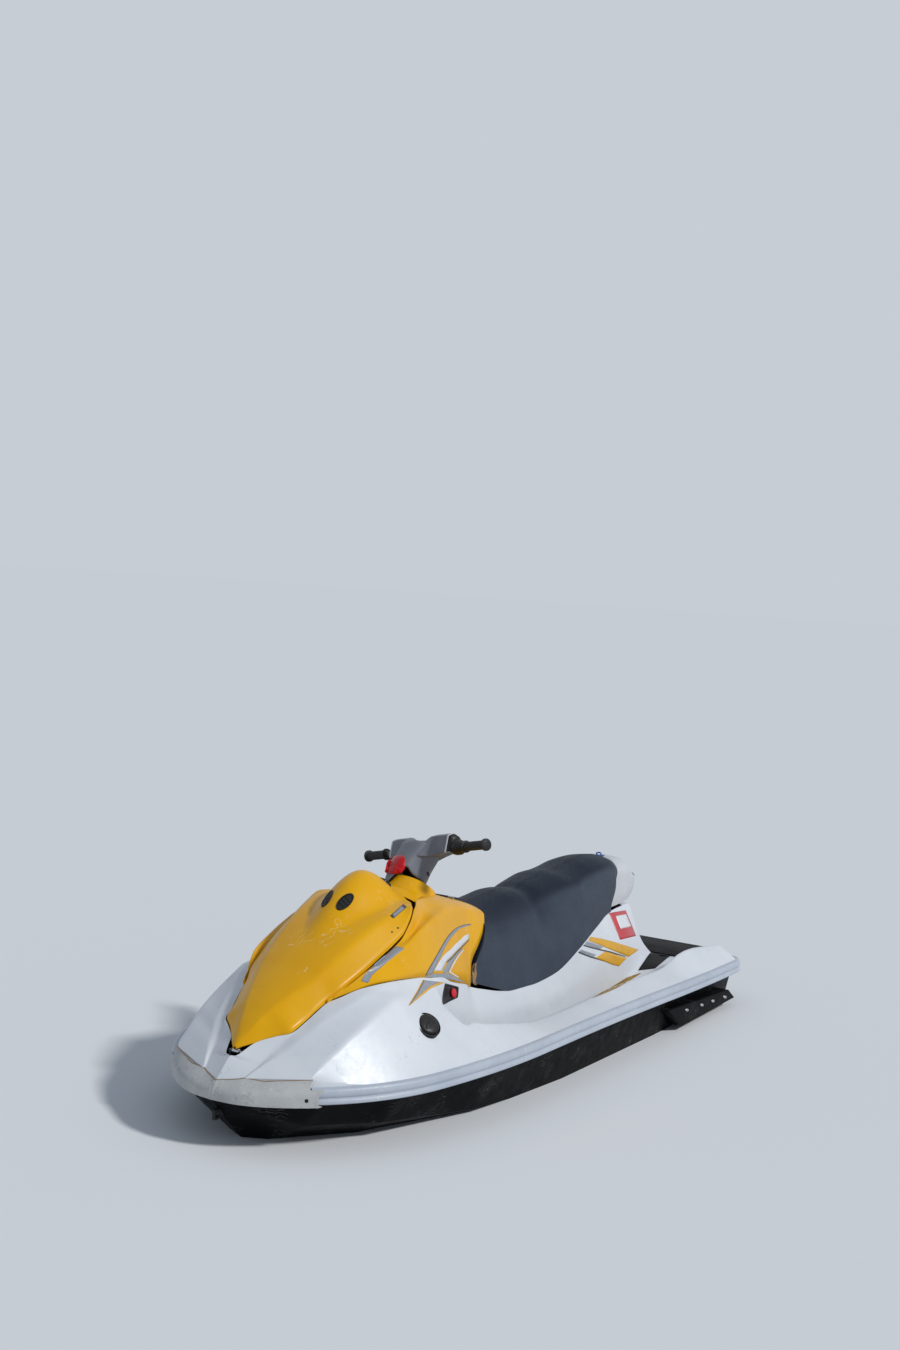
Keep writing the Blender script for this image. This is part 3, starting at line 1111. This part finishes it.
@dataclass
class Bumper:
    """Rubbing rails, bow cover and stern corner caps."""

    def _sweep(self, path: Array, profile: Array) -> Array:
        """Carry a profile of (outward, up) along a plan path; up follows the rail's arc in side view."""
        tangent = np.gradient(path, axis=0)
        tangent /= np.linalg.norm(tangent, axis=1, keepdims=True)
        normal = np.stack([tangent[:, 1], -tangent[:, 0]], axis=1)
        normal *= np.where((normal * path).sum(axis=1, keepdims=True) < 0, -1, 1)
        flat = path[:, None] + normal[:, None] * profile[None, :, :1]
        z = Gunwale.LOW_Z - Gunwale.drop(path[:, 0])[:, None] + profile[None, :, 1]
        return np.concatenate([flat, z[..., None]], axis=2)

    def build(self) -> None:
        """Make the rails, the bow cover and the stern caps."""
        path = Gunwale.line(24)
        profile = np.array([(0, 0), (20, 0.5), (23.5, 4), (24, 11), (22, 16), (18, 19), (17.5, 22), (20, 25),
                            (23, 29), (24, 36), (22.5, 45), (19, 51), (13, 54.5), (0, 55)], float)
        profile = np.concatenate([profile, profile[:1]])
        side = path[(path[:, 0] < 1446) & (path[:, 0] > -1566)]
        rail = self._sweep(side, profile)
        stern_half = path[(path[:, 1] < 425) & (path[:, 0] < -1500)]
        stern = np.concatenate([stern_half, (stern_half * [1, -1])[::-1][1:]])
        cross = self._sweep(stern, profile)
        piece("rail_skin", [rail, starboard(rail), cross], "craft", RAIL_GREY,
              ["gunwale_rails"], sharp=40)
        self._bow_cover(path)
        cap_path = path[(path[:, 0] < -1560) & (path[:, 1] > 400)]
        cap_profile = profile * [1.16, 1.1] + [0, -3]
        cap = self._sweep(cap_path, cap_profile)
        closed = [np.stack([end, np.broadcast_to(end.mean(axis=0), end.shape)]) for end in (cap[0], cap[-1])]
        ends = [c for e in closed for c in (e, starboard(e))]
        piece("stern_cap_skins", [cap, starboard(cap), *ends], "craft", COVER_GREY,
              ["stern_caps"], sharp=40)

    # Top edge of the bow cover, from the nose to past its port end
    COVER_TOP = ((1592, 0, 232), (1576, 27, 234), (1561, 57, 238), (1545, 84, 245), (1526, 153, 243),
                 (1501, 195, 248), (1469, 252, 254), (1451, 283, 257), (1433, 310, 261), (1400, 352, 262))
    # Rows of the cover up its face: share of the height, then mm that the torn end runs past the top's
    COVER_ROWS = ((-0.08, 6), (-0.08, 12), (-0.04, 22), (0.02, 8), (0.2, 8), (0.36, 10), (0.5, 20),
                  (0.615, 32), (0.64, -17), (0.75, -14), (0.87, -8), (0.95, -3), (1.0, 0))

    def _bow_cover(self, path: Array) -> None:
        """Cover round the bow: an upright face that leans in to a worn top edge, with stepped, torn ends."""
        run = np.concatenate([[0], np.cumsum(np.linalg.norm(np.diff(path, axis=0), axis=1))])
        end = np.interp(-1435, -path[:600, 0], run[:600])
        even = np.concatenate([np.linspace(0, end - 80, 50), np.linspace(end - 80, end, 24)[1:]])
        tangent = np.gradient(path, axis=0)
        tangent /= np.linalg.norm(tangent, axis=1, keepdims=True)
        top = np.array(self.COVER_TOP, float)
        rows = []
        for share, past in self.COVER_ROWS:
            ramp = np.clip((even - end + 80) / 80, 0, 1)
            here = even + past * ramp**2 * (3 - 2 * ramp)
            at = np.stack([np.interp(here, run, path[:, i]) for i in (0, 1)], axis=1)
            way = np.stack([np.interp(here, run, tangent[:, i]) for i in (0, 1)], axis=1)
            out = np.stack([way[:, 1], -way[:, 0]], axis=1)
            out *= np.where((out * at).sum(axis=1, keepdims=True) < 0, -1, 1)
            edge = np.stack([np.interp(at[:, 1], top[:, 1], top[:, i]) for i in (0, 1, 2)], axis=1)
            height = edge[:, 2] - Gunwale.LOW_Z
            proud = 28 - 3 * abs(share - 0.3) + 2.5 * np.exp(-(here / 9)**2)
            face = at + out * proud[:, None]
            lean = np.clip((share - 0.42) / 0.58, 0, 1)**1.5
            flat = face * (1 - lean) + (edge[:, :2] + out * 1.5) * lean
            rows.append(np.column_stack([flat, Gunwale.LOW_Z + height * share]))
        inner = rows[-1] - np.column_stack([out * 34, np.full(len(out), 9.0)])
        low = rows[0] - np.column_stack([out * 22, np.zeros(len(out))])
        grid = np.stack([low, *rows, inner])
        rim = np.stack([rows[-2] * 0.4 + rows[-1] * 0.6 + [0.4, 0.2, 0.4], rows[-1] + [0.5, 0.1, 0.6],
                        rows[-1] * 0.94 + inner * 0.06 + [0, 0, 0.9]])
        core = (1250, 0, 150)
        self.cover = piece("bow_cover_skin", [grid, starboard(grid)], "craft", COVER_GREY,
                           ["bow_cover"], core=core, sharp=38, thick=2.5)
        piece("bow_cover_edge_line", [rim, starboard(rim)], "craft", STAIN, core=core)
        hole = PhotoView.spot((306.5, 1101), (2.0, 2.0), 0, ((1.0, 0.3), (0.8, 0.7), (0.4, 0.5), (0, 0.4)),
                              self.cover, 20)
        piece("bow_cover_hole", [hole], "craft", BLACK_PLASTIC)


@dataclass
class Steering:
    """Steering head at its rest turn: cover, red trim, bar, grips and controls."""

    origin: tuple[float, float, float] = (410.0, 0.0, 775.0)
    lean: float = -35.0
    turn: float = -23.0
    bar_ahead: float = 12.0
    bar_up: float = 80.0

    def place(self, grid: Array) -> Array:
        """From the head's own frame, axis up Z, to the craft's at rest."""
        a, b = np.radians(self.turn), np.radians(self.lean)
        about_z = np.array([[np.cos(a), -np.sin(a), 0], [np.sin(a), np.cos(a), 0], [0, 0, 1]])
        about_y = np.array([[np.cos(b), 0, np.sin(b)], [0, 1, 0], [-np.sin(b), 0, np.cos(b)]])
        return grid @ (about_y @ about_z).T + np.array(self.origin)

    def _along_bar(self, profile: Sequence[tuple[float, float]], count: int = 40) -> Array:
        """Turn a profile of (radius, y) about the handlebar."""
        grid = lathe(profile, count)
        own = np.stack([grid[..., 0], grid[..., 2], grid[..., 1]], axis=-1)
        return self.place(own + [self.bar_ahead, 0, self.bar_up])

    def build(self) -> None:
        """Make every steering piece."""
        self._pod()
        grips = []
        for side in (1, -1):
            sleeve = [(11, 244 * side), (22, 244 * side), (23, 247 * side), (23, 251 * side),
                      (18, 253 * side)]
            for k in range(9):
                y = 258 + k * 11
                sleeve += [(17.6, y * side), (16.6, (y + 3) * side), (16.6, (y + 6) * side),
                           (17.6, (y + 9) * side)]
            sleeve += [(17, 358 * side), (23, 361 * side), (23, 369 * side), (19, 372 * side),
                       (0, 372 * side)]
            grips.append(self._along_bar(sleeve))
        piece("grip_sleeves", grips, "steering", GRIP_RUBBER, ["grips"], sharp=40)
        shell = [(11, 178), (22, 178), (26, 182), (29, 196), (29, 214), (25, 224), (22, 232), (20, 240),
                 (11, 241)]
        piece("stop_switch_shell", [self._along_bar(shell)], "steering", BLACK_PLASTIC,
              ["switch_box"], sharp=40)
        tube = [(0, -366), (9.5, -366), (11, -364), (11, 364), (9.5, 366), (0, 366)]
        piece("handlebar_tube", [self._along_bar(tube)], "steering", STEEL, ["handlebar"],
              sharp=40)
        dress("steering_column", STEEL, 0)

    # Red trim on the head's front, in pixels
    LENS = ((385, 872.1), (387.1, 862.9), (390, 858.5), (393.6, 856.4), (398, 855.6), (402.9, 855.6),
            (405, 858), (405.4, 861.4),
            (405, 868.6), (401.4, 872.9), (394.3, 874), (387, 873.6), (385, 872.1))
    # Head stations: y, then x z of the low front, the brow and the top, rear x and its low z
    HEAD = ((174, 40, 45, 56, 110, 37, 130, -14, 80), (150, 40, 42, 57, 111, 37, 131, -22, 78),
            (120, 39, 38, 58, 111, 36, 131, -30, 76), (92, 44, 32, 60, 110, 37, 131, -36, 74),
            (78, 60, 24, 62, 108, 36, 130, -38, 72), (62, 78, 16, 71, 84, 32, 122, -40, 68),
            (40, 96, 8, 86, 50, 24, 122, -42, 62), (20, 104, 2, 98, 20, 19, 124, -43, 58),
            (0, 106, 0, 102, 8, 17, 124, -44, 56))

    def _section(self, y: float, low_x: float, low_z: float, brow_x: float, brow_z: float, top_x: float,
                 top_z: float, rear: float, rear_z: float) -> Array:
        """Closed section of the head at one station across, started in the middle of its underside."""
        mid = ((low_x + rear) / 2, y, (low_z + rear_z) / 2)
        return np.array([mid, (low_x, y, low_z), (brow_x, y, brow_z), (top_x, y, top_z),
                         (rear + 18, y, top_z), (rear, y, top_z - 16), (rear, y, rear_z), mid], float)

    def _pod(self) -> None:
        """Head cover: two arms along the bar with a hollow between them, over a neck that ends in a beak."""
        port = [self._section(*row) for row in self.HEAD]
        star = [loop * [1, -1, 1] for loop in port[-2::-1]]
        own = rounded(flow(np.stack(port + star), 130), (0, 6, 6, 8, 10, 10, 8, 0), 3, 4)
        head = self.place(own)
        turn = np.linspace(-np.pi, np.pi, 97)
        c, s = np.cos(turn), np.sin(turn)
        # The lower edge drops to a pointed beak ahead and arches up beside it.
        spike = np.clip(1 - abs(turn) / 0.62, 0, 1)
        low = -54 - 70 * spike**1.15 + 16 * np.exp(-((abs(turn) - 1.0) / 0.35)**2)
        levels = []
        for t in np.linspace(0, 1, 16):
            z = low * (1 - t) + 78 * t
            front = 112 + 0.2 * np.maximum(0, -z) - 0.22 * np.maximum(0, z)
            rear = -34 - 0.08 * np.maximum(0, z)
            half = np.interp(z, (-62, 0, 60, 90), (53, 60, 72, 78))
            front = np.minimum(front, 104 + 0.1 * (90 - z))
            x = (front + rear) / 2 + (front - rear) / 2 * np.sign(c) * abs(c)**0.62
            levels.append(np.stack([x, half * np.sign(s) * abs(s)**0.72, z], axis=1))
        neck = self.place(np.stack(levels))
        shut = [np.stack([loop, np.broadcast_to(loop.mean(axis=0), loop.shape)])
                for loop in (head[0], head[-1])]
        cover = piece("steering_cover", [head, *shut, neck], "steering", POD_GREY,
                      ["steering_pod"], sharp=30, thick=2.5)
        # Arm ends: a thin pale ring round a black plug; share of the end's outline, then mm past it
        for name, finish, slot, steps in (
                ("arm_end_rings", COVER_PLASTIC, "grey_plastic",
                 ((1.0, -5), (1.03, -4), (1.03, 1.5), (0.95, 2), (0.94, 0.3))),
                ("arm_end_plugs", BLACK_PLASTIC, "black_plastic",
                 ((0.95, 0.4), (0.93, 7), (0.82, 12), (0.5, 17), (0.3, 17)))):
            grids = []
            for end, side in ((own[0], 1), (own[-1], -1)):
                middle = end.mean(axis=0)
                loops = [middle + (end - middle) * share + [0, side * past, 0] for share, past in steps]
                grids.append(self.place(np.stack(loops)))
            piece(name, grids, "steering", finish, sharp=40)
        # Underside: black, drawn in from the lower edge to a circle that clears the cone.
        edge = levels[0]
        reach = np.linalg.norm(edge[:, :2], axis=1, keepdims=True)
        inner = edge[:, :2] / reach * np.minimum(reach - 3, 106)
        rise = np.full((len(edge), 1), -57.0)
        under = np.stack([edge + [0, 0, 1], np.hstack([inner, edge[:, 2:] + 3]),
                          np.hstack([inner, np.maximum(rise, edge[:, 2:] + 5)]),
                          np.broadcast_to([39.0, 0, -52.0], edge.shape)])
        piece("steering_underside", [self.place(under)], "steering", BLACK_PLASTIC,
              core=(450, 0, 900), sharp=40)
        hole = PhotoView.spot((428, 874), (1.3, 2.6), -20, ((1.0, 0.3), (0.8, 0.8), (0.4, 0.5), (0, 0.4)),
                              cover, 20)
        piece("steering_cover_screw", [hole], "steering", BLACK_PLASTIC)
        outline = ribbon(self.LENS, self.LENS, 49, 2)[:, 0]
        lens = PhotoView.rings(outline, ((1.0, -1.0), (0.99, 2.0), (0.93, 4.0), (0.6, 5.5), (0, 6.0)), cover)
        piece("front_trim", [lens], "steering", RED, ["pod_patch"], sharp=50)


@dataclass
class Hull:
    """Hull, jet drive and the small fittings that keep their CAD shape."""

    def build(self) -> None:
        """Dress each kept node."""
        for name, finish, bevel in (
                ("hull", HULL_BLACK, 3.0), ("sponsons", HULL_BLACK, 3.0), ("ride_plate", ALLOY, 1.0),
                ("pump_housing", ALLOY, 0), ("impeller", STEEL, 0), ("drive_shaft", STEEL, 0),
                ("steering_nozzle", ALLOY, 0), ("intake_grate", ALLOY, 1.0), ("bow_eye", BLACK_PLASTIC, 1.0),
                ("stern_eyes", STEEL, 1.0), ("drain_plugs", BLACK_PLASTIC, 1.0),
                ("exhaust_outlet", BLACK_PLASTIC, 0), ("engine_block", ALLOY, 3.0),
                ("hood_hinge", STEEL, 0), ("glovebox_lid", DARK_PLASTIC, 1.0),
                ("glovebox_hinge", STEEL, 0), ("footwell_mats", MAT, 1.5), ("platform_mat", MAT, 1.5),
                ("throttle", BLACK_PLASTIC, 1.5)):
            dress(name, finish, bevel)


@dataclass
class Trim:
    """Stripes, blank plates, caps and screws, laid on what carries them."""

    deck: bpy.types.Object
    hood: bpy.types.Object
    cowl: bpy.types.Object

    # Stripes on the cowl: finish, one edge, other edge
    COWL_STRIPES = (
        (STRIPE_GREY, ((471, 924.3), (465, 925), (460, 926.5), (455, 929.5), (450, 934.5), (446, 940),
                       (442, 947), (438, 954), (434, 961), (430, 968), (426, 975.5)),
         ((471, 924.9), (465, 926.6), (460, 928.5), (456, 932), (451, 937.5), (448, 942), (444, 949),
          (441, 956), (438, 962),
          (435.5, 967), (433, 973))),
        (STRIPE_GREY, ((442.5, 973.5), (445, 967.5), (448, 962), (452, 957), (457, 952.5), (462, 948.5)),
         ((448.5, 972), (451, 966), (454.5, 959.5), (458, 954.5), (461, 951), (463, 948.9))),
        (STRIPE_GREY, ((426, 976.2), (433, 973.8), (442, 973.8), (448.5, 973), (452, 975.2), (458, 978.7),
                       (464, 981.6)),
         ((425.2, 977), (433, 977.6), (442, 978.2), (450, 979.6), (456, 980.6), (460, 981.3),
          (464.5, 982.3))),
        (STRIPE_WHITE, ((434, 970.8), (437.5, 964.5), (442, 957.5), (446, 953), (450, 950), (455, 944.5),
                        (460, 940), (464, 936), (468.5, 933.7)),
         ((441.8, 970.8), (444, 966.5), (446, 962), (448.5, 959.4), (452, 955.8), (456, 951.4), (461, 946.4),
          (465, 942.4),
          (468.8, 938.6))),
        (STRIPE_DARK, ((446.5, 961.8), (448.7, 960), (452.2, 956.5), (456.2, 952), (461.2, 947),
                       (465.2, 943), (469, 939)),
         ((447.4, 962.4), (449.6, 960.8), (453, 957.3), (457, 952.8), (462, 947.7), (466, 943.6),
          (469.4, 939.6))),
        (STRIPE_DARK, ((471, 923.9), (465, 924.4), (460, 925.8), (454.6, 928.9), (449.5, 933.9),
                       (445.4, 939.5), (441.3, 946.6),
                       (437.3, 953.6), (433.3, 960.6), (429.3, 967.6), (425.3, 975.3)),
         ((471, 924.3), (465, 925), (460, 926.5), (455, 929.5), (450, 934.5), (446, 940), (442, 947),
          (438, 954),
          (434, 961), (430, 968), (426, 975.5))),
        (STRIPE_WHITE, ((463.2, 949.6), (458.6, 954.9), (454.8, 960.3), (451.4, 966.5), (448.8, 971.8),
                        (452.5, 974.6), (458.5, 978)),
         ((463.8, 950.2), (459.5, 955.5), (455.9, 961), (452.5, 967), (450.2, 971.4), (453.2, 973.6),
          (459, 977.2))),
    )
    # Stripes on the deck moulding
    DECK_STRIPES = (
        (STRIPE_GREY, ((424.3, 980.2), (418.7, 991.5), (414.3, 998.6), (409.6, 1004.8)),
         ((440, 981.9), (430, 986.4), (420, 994.6), (409.9, 1004.9))),
        (STRIPE_DARK, ((423.6, 980), (418, 991.2), (413.5, 998.5), (408.9, 1005.3)),
         ((424.3, 980.2), (418.7, 991.5), (414.3, 998.6), (409.6, 1004.8))),
        (STRIPE_YELLOW, ((422.6, 979.9), (417, 990.8), (412.3, 998.5), (408, 1006)),
         ((423.6, 980), (418, 991.2), (413.5, 998.5), (408.9, 1005.3))),
        (STRIPE_YELLOW, ((440, 981.9), (430, 986.4), (420, 994.6), (409.9, 1004.9)),
         ((444.5, 982.4), (431, 988.4), (421, 996.4), (409, 1006))),
        (STRIPE_YELLOW, ((590.5, 936.8), (602, 938.7), (615, 942.2), (628, 946.2), (638.5, 949.8)),
         ((588, 940.4), (597, 943.8), (610, 949.4), (621, 953.8), (628.5, 956.8))),
        (STRIPE_GREY, ((587, 941.2), (595, 943.8), (603, 946.8)),
         ((584.5, 944.2), (592, 946.4), (600, 948.8))),
        (STRIPE_DARK, ((584, 944.6), (592, 946.8), (600, 949), (610, 951.2), (626, 956.4)),
         ((583, 945.8), (590, 948), (599, 950.2), (609, 952.6), (625, 956.8))),
        (STRIPE_DARK, ((579, 951.2), (586, 954), (592, 956.3), (602, 959.5), (613, 963.2)),
         ((578, 952.8), (585, 955.6), (591, 957.8), (601, 960.6), (612, 963.9))),
        (STRIPE_GREY, ((581, 949.6), (589, 952.4), (596, 954.6)), ((580, 951.2), (587, 953.8), (594, 956.4))),
        (STRIPE_YELLOW, ((605, 951.4), (612, 953.3), (620, 956), (626.8, 958)),
         ((595.5, 958), (603, 960.9), (612, 964.6), (618.8, 966.4))),
        (STRIPE_GOLD, ((600, 993.4), (612, 986.6), (626, 977.8), (633, 975.4), (640, 973.2)),
         ((592, 998.4), (606, 993), (618, 987.6), (630, 980.6), (641, 973.6))),
    )

    def build(self) -> None:
        """Lay every stripe, plate, cap and screw."""
        self._stripes("cowl_stripes", self.COWL_STRIPES, self.cowl)
        self._stripes("deck_stripes", self.DECK_STRIPES, self.deck)
        self._plates()
        ramp = PhotoView.strike(ribbon(((638, 970.6), (648, 955.5), (657, 945.5), (668, 944.4)),
                                       ((655, 968.6), (667, 958.4), (679, 950.4), (688, 947.2)), 30, 12),
                                self.deck, 2.0)
        piece("ramp_mats", [ramp, starboard(ramp)], "craft", MAT, core=(-1000, 0, -400),
              thick=1.5, weld=0.001)
        self._hood_plate()
        self._filler()
        self._choke()
        self._screws()

    def _stripes(self, name: str, rows: Sequence[tuple], carrier: bpy.types.Object) -> None:
        """Film stripes on one carrier and their mirror images, one piece for each finish."""
        kinds: dict[str, list[Array]] = {}
        finishes: dict[str, Finish] = {}
        for k, (finish, one, other) in enumerate(rows):
            grid = PhotoView.strike(ribbon(one, other, 40, 6), carrier, 0.5 + 0.05 * k)
            kinds.setdefault(finish.name, []).extend([grid, starboard(grid)])
            finishes[finish.name] = finish
        for i, (key, grids) in enumerate(kinds.items()):
            piece(f"{name}_{i}", grids, "craft", finishes[key], core=(-200, 0, 200),
                  thick=0.3, weld=0.001)

    def _plates(self) -> None:
        """Blank places of the labels: the grey strip beside the hood, and the red plate aft."""
        strip = PhotoView.strike(ribbon(((361, 981), (366, 972), (380, 959.5), (396, 946.2)),
                                        ((368, 983), (372, 975), (386, 963), (404.5, 948.4)), 30, 6),
                                 self.cowl, 0.8)
        piece("blank_strip", [strip], "craft", STRIPE_GREY, core=(-200, 0, 200), thick=0.6,
              weld=0.001)
        red = PhotoView.strike(ribbon(((609, 913.2), (625.5, 910.2)), ((620, 939.8), (636, 935.8)), 14, 14),
                               self.deck, 0.9)
        piece("blank_plate_red", [red], "craft", PLATE_RED, core=(-1000, 0, 200), thick=0.8,
              weld=0.001)
        pale = PhotoView.strike(ribbon(((615.5, 916), (626, 914.2)), ((620.5, 929), (631, 926.4)), 10, 10),
                                self.deck, 1.3)
        piece("blank_plate_pale", [pale], "craft", STRIPE_WHITE, core=(-1000, 0, 200),
              thick=0.4, weld=0.001)

    def _hood_plate(self) -> None:
        """Small blank plate high on the hood's port side: a dark edge round a pale field."""
        edge = PhotoView.strike(ribbon(((390, 915.8), (403.2, 904.2)), ((393.4, 918.6), (406.8, 907)),
                                       12, 4), self.hood, 0.9)
        field = PhotoView.strike(ribbon(((392.2, 914.6), (401.6, 906.2)), ((394.6, 916.8), (404.2, 908.6)),
                                        12, 4), self.hood, 1.4)
        piece("hood_plate_edge", [edge], "hood", STRIPE_DARK, core=(1000, 0, 0), thick=0.6,
              weld=0.001)
        piece("hood_plate_field", [field], "hood", STRIPE_GREY, core=(1000, 0, 0), thick=0.3,
              weld=0.001)

    def _filler(self) -> None:
        """Fuel filler: a black flange let into the bow side and a domed cap with a grip across it."""
        normal = np.array((0.22, 0.66, 0.72)) / np.linalg.norm((0.22, 0.66, 0.72))
        middle = PhotoView.strike(np.array([(427.6, 1025.6)]), self.deck, 0.0)[0]
        profile = [(46, -22), (48, -10), (48, 6), (46.5, 8), (44, 8.4), (43, 7), (42.6, 3), (41, 3),
                   (40.4, 8), (38.5, 12), (33, 15), (22, 17), (10, 17.8), (0, 18)]
        bar = squircle(31, 7)
        where = dict(origin=middle, up=normal, ahead=(0.9, 0.2, -0.4))
        cap, grip = placed(lathe(profile, 64), **where), placed(slab(bar, 14, 20.5, 3)[0], **where)
        piece("filler_lid", [cap, grip], "craft", BLACK_PLASTIC, ["filler_cap"],
              core=tuple(middle - normal * 60), sharp=40)

    def _choke(self) -> None:
        """Slanted black bezel of the choke in the console wall, and its red knob."""
        outer = np.array([(445, 983.4), (451.5, 985), (458.3, 987), (458, 992), (457.4, 997.6), (450, 1001),
                          (443, 1005), (442, 1000.5), (443, 992), (445, 983.4)], float)
        bezel = PhotoView.rings(ribbon(outer, outer, 40, 2)[:, 0],
                                ((1.0, -0.5), (1.0, 2.5), (0.94, 4.0), (0.86, 4.0), (0.80, 1.5), (0.0, 1.0)),
                                self.deck)
        piece("choke_plate", [bezel], "craft", BLACK_PLASTIC, ["choke_bezel"],
              core=(600, 0, 300), sharp=40)
        knob = PhotoView.spot((452.4, 993.2), (4.8, 2.5), 84,
                              ((0.7, 1), (0.75, 3), (1.0, 4), (1.0, 7), (0.85, 9), (0, 9.5)), self.deck, 28)
        piece("choke_pull", [knob], "craft", RED, ["choke_knob"], core=(600, 0, 300), sharp=50)

    def _screws(self) -> None:
        """Screw heads on the sponsons and two screw holes above the blank strip."""
        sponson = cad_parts["sponsons"]
        steps = ((1.0, 0.2), (0.95, 1.6), (0.6, 2.4), (0.3, 2.0), (0, 1.8))
        heads = [PhotoView.spot(at, (1.5, 1.5), 0, steps, sponson, 16)
                 for at in ((687, 1010), (702, 1005), (713, 1001), (725, 997))]
        piece("sponson_screws", heads + [starboard(h) for h in heads], "craft", STEEL, sharp=60)
        dark = ((1.0, 0.3), (0.8, 0.6), (0, 0.5))
        holes = [PhotoView.spot(at, (1.1, 0.9), 0, dark, self.hood, 14) for at in ((392, 932), (398, 928))]
        piece("label_screw_holes", holes, "hood", BLACK_PLASTIC)


@dataclass
class Studio:
    """Floor, light and the photograph's camera."""

    floor_half: float = 60.0
    floor_colour: str = "#EDEEEF"
    key_strength: float = 1.95
    key_spread: float = 6.0
    key_from: tuple[float, float, float] = (-0.05, 0.75, 0.62)
    sky_colour: str = "#D6E4F5"
    sky_strength: float = 0.40
    backdrop: str = "#C6CDD5"
    sensor_mm: float = 36.0

    def build(self) -> None:
        """Make the floor, the lights, the world and the camera."""
        self._floor()
        self._lights()
        self._camera()

    def _floor(self) -> None:
        """Plain pale floor at the waterline."""
        size = self.floor_half
        mesh = bpy.data.meshes.new("floor")
        mesh.from_pydata([(-size, -size, 0), (size, -size, 0), (size, size, 0), (-size, size, 0)], [],
                         [(0, 1, 2, 3)])
        floor = bpy.data.objects.new("floor", mesh)
        bpy.context.scene.collection.objects.link(floor)
        made = bpy.data.materials.new("Painted studio floor")
        made.use_nodes = True
        paint = made.node_tree.nodes["Principled BSDF"].inputs
        paint["Base Color"].default_value = linear(self.floor_colour)
        paint["Roughness"].default_value = 1.0
        paint["Specular IOR Level"].default_value = 0.0
        mesh.materials.append(made)

    def _lights(self) -> None:
        """One soft key from port and an even sky; camera and mirror rays see a backdrop like the floor."""
        key = bpy.data.lights.new("key", "SUN")
        key.energy, key.angle = self.key_strength, np.radians(self.key_spread)
        lamp = bpy.data.objects.new("key", key)
        lamp.rotation_euler = Vector(self.key_from).to_track_quat("Z", "Y").to_euler()
        bpy.context.scene.collection.objects.link(lamp)
        world = bpy.data.worlds.new("studio")
        world.use_nodes = True
        tree = world.node_tree
        tree.nodes.clear()
        ray = node(tree, "LightPath").outputs
        shiny = node(tree, "Math", {0: ray["Is Glossy Ray"], 1: ray["Is Transmission Ray"]},
                     operation="MAXIMUM")
        seen = node(tree, "Math", {0: ray["Is Camera Ray"], 1: shiny.outputs[0]},
                    operation="MAXIMUM").outputs[0]
        light = node(tree, "Background", {"Color": linear(self.sky_colour), "Strength": self.sky_strength})
        back = node(tree, "Background", {"Color": linear(self.backdrop), "Strength": 1.0})
        mix = node(tree, "MixShader", {0: seen, 1: light.outputs["Background"],
                                       2: back.outputs["Background"]})
        node(tree, "OutputWorld", {"Surface": mix.outputs["Shader"]})
        bpy.context.scene.world = world

    def _camera(self) -> None:
        """Camera of the photograph, 36 mm on the frame's long side."""
        data = bpy.data.cameras.new("photo")
        data.sensor_width = self.sensor_mm
        data.lens = PhotoView.FOCAL_PX / PhotoView.LONG_SIDE * self.sensor_mm
        data.clip_end = 200.0
        eye = bpy.data.objects.new("photo", data)
        axes = np.stack([PhotoView.RIGHT, PhotoView.UP, -PhotoView.AHEAD], axis=1)
        place = Matrix(axes.tolist()).to_4x4()
        place.translation = Vector((PhotoView.POSITION / 1000).tolist())
        eye.matrix_world = place
        bpy.context.scene.collection.objects.link(eye)
        bpy.context.scene.camera = eye


def main() -> None:
    """Build the studio and every sub-assembly, then note the sizes."""
    logging.basicConfig(level=logging.INFO, format="%(message)s")
    bpy.context.scene.view_settings.view_transform = "Standard"
    deck, hood, cowl = Deck().build(), Hood().build(), Cowl().build()
    for part in (Studio(), Saddle(), Bumper(), Steering(), Hull(), Trim(deck, hood, cowl)):
        part.build()
        log.info("built %s", type(part).__name__)


if __name__ == "__main__":
    main()
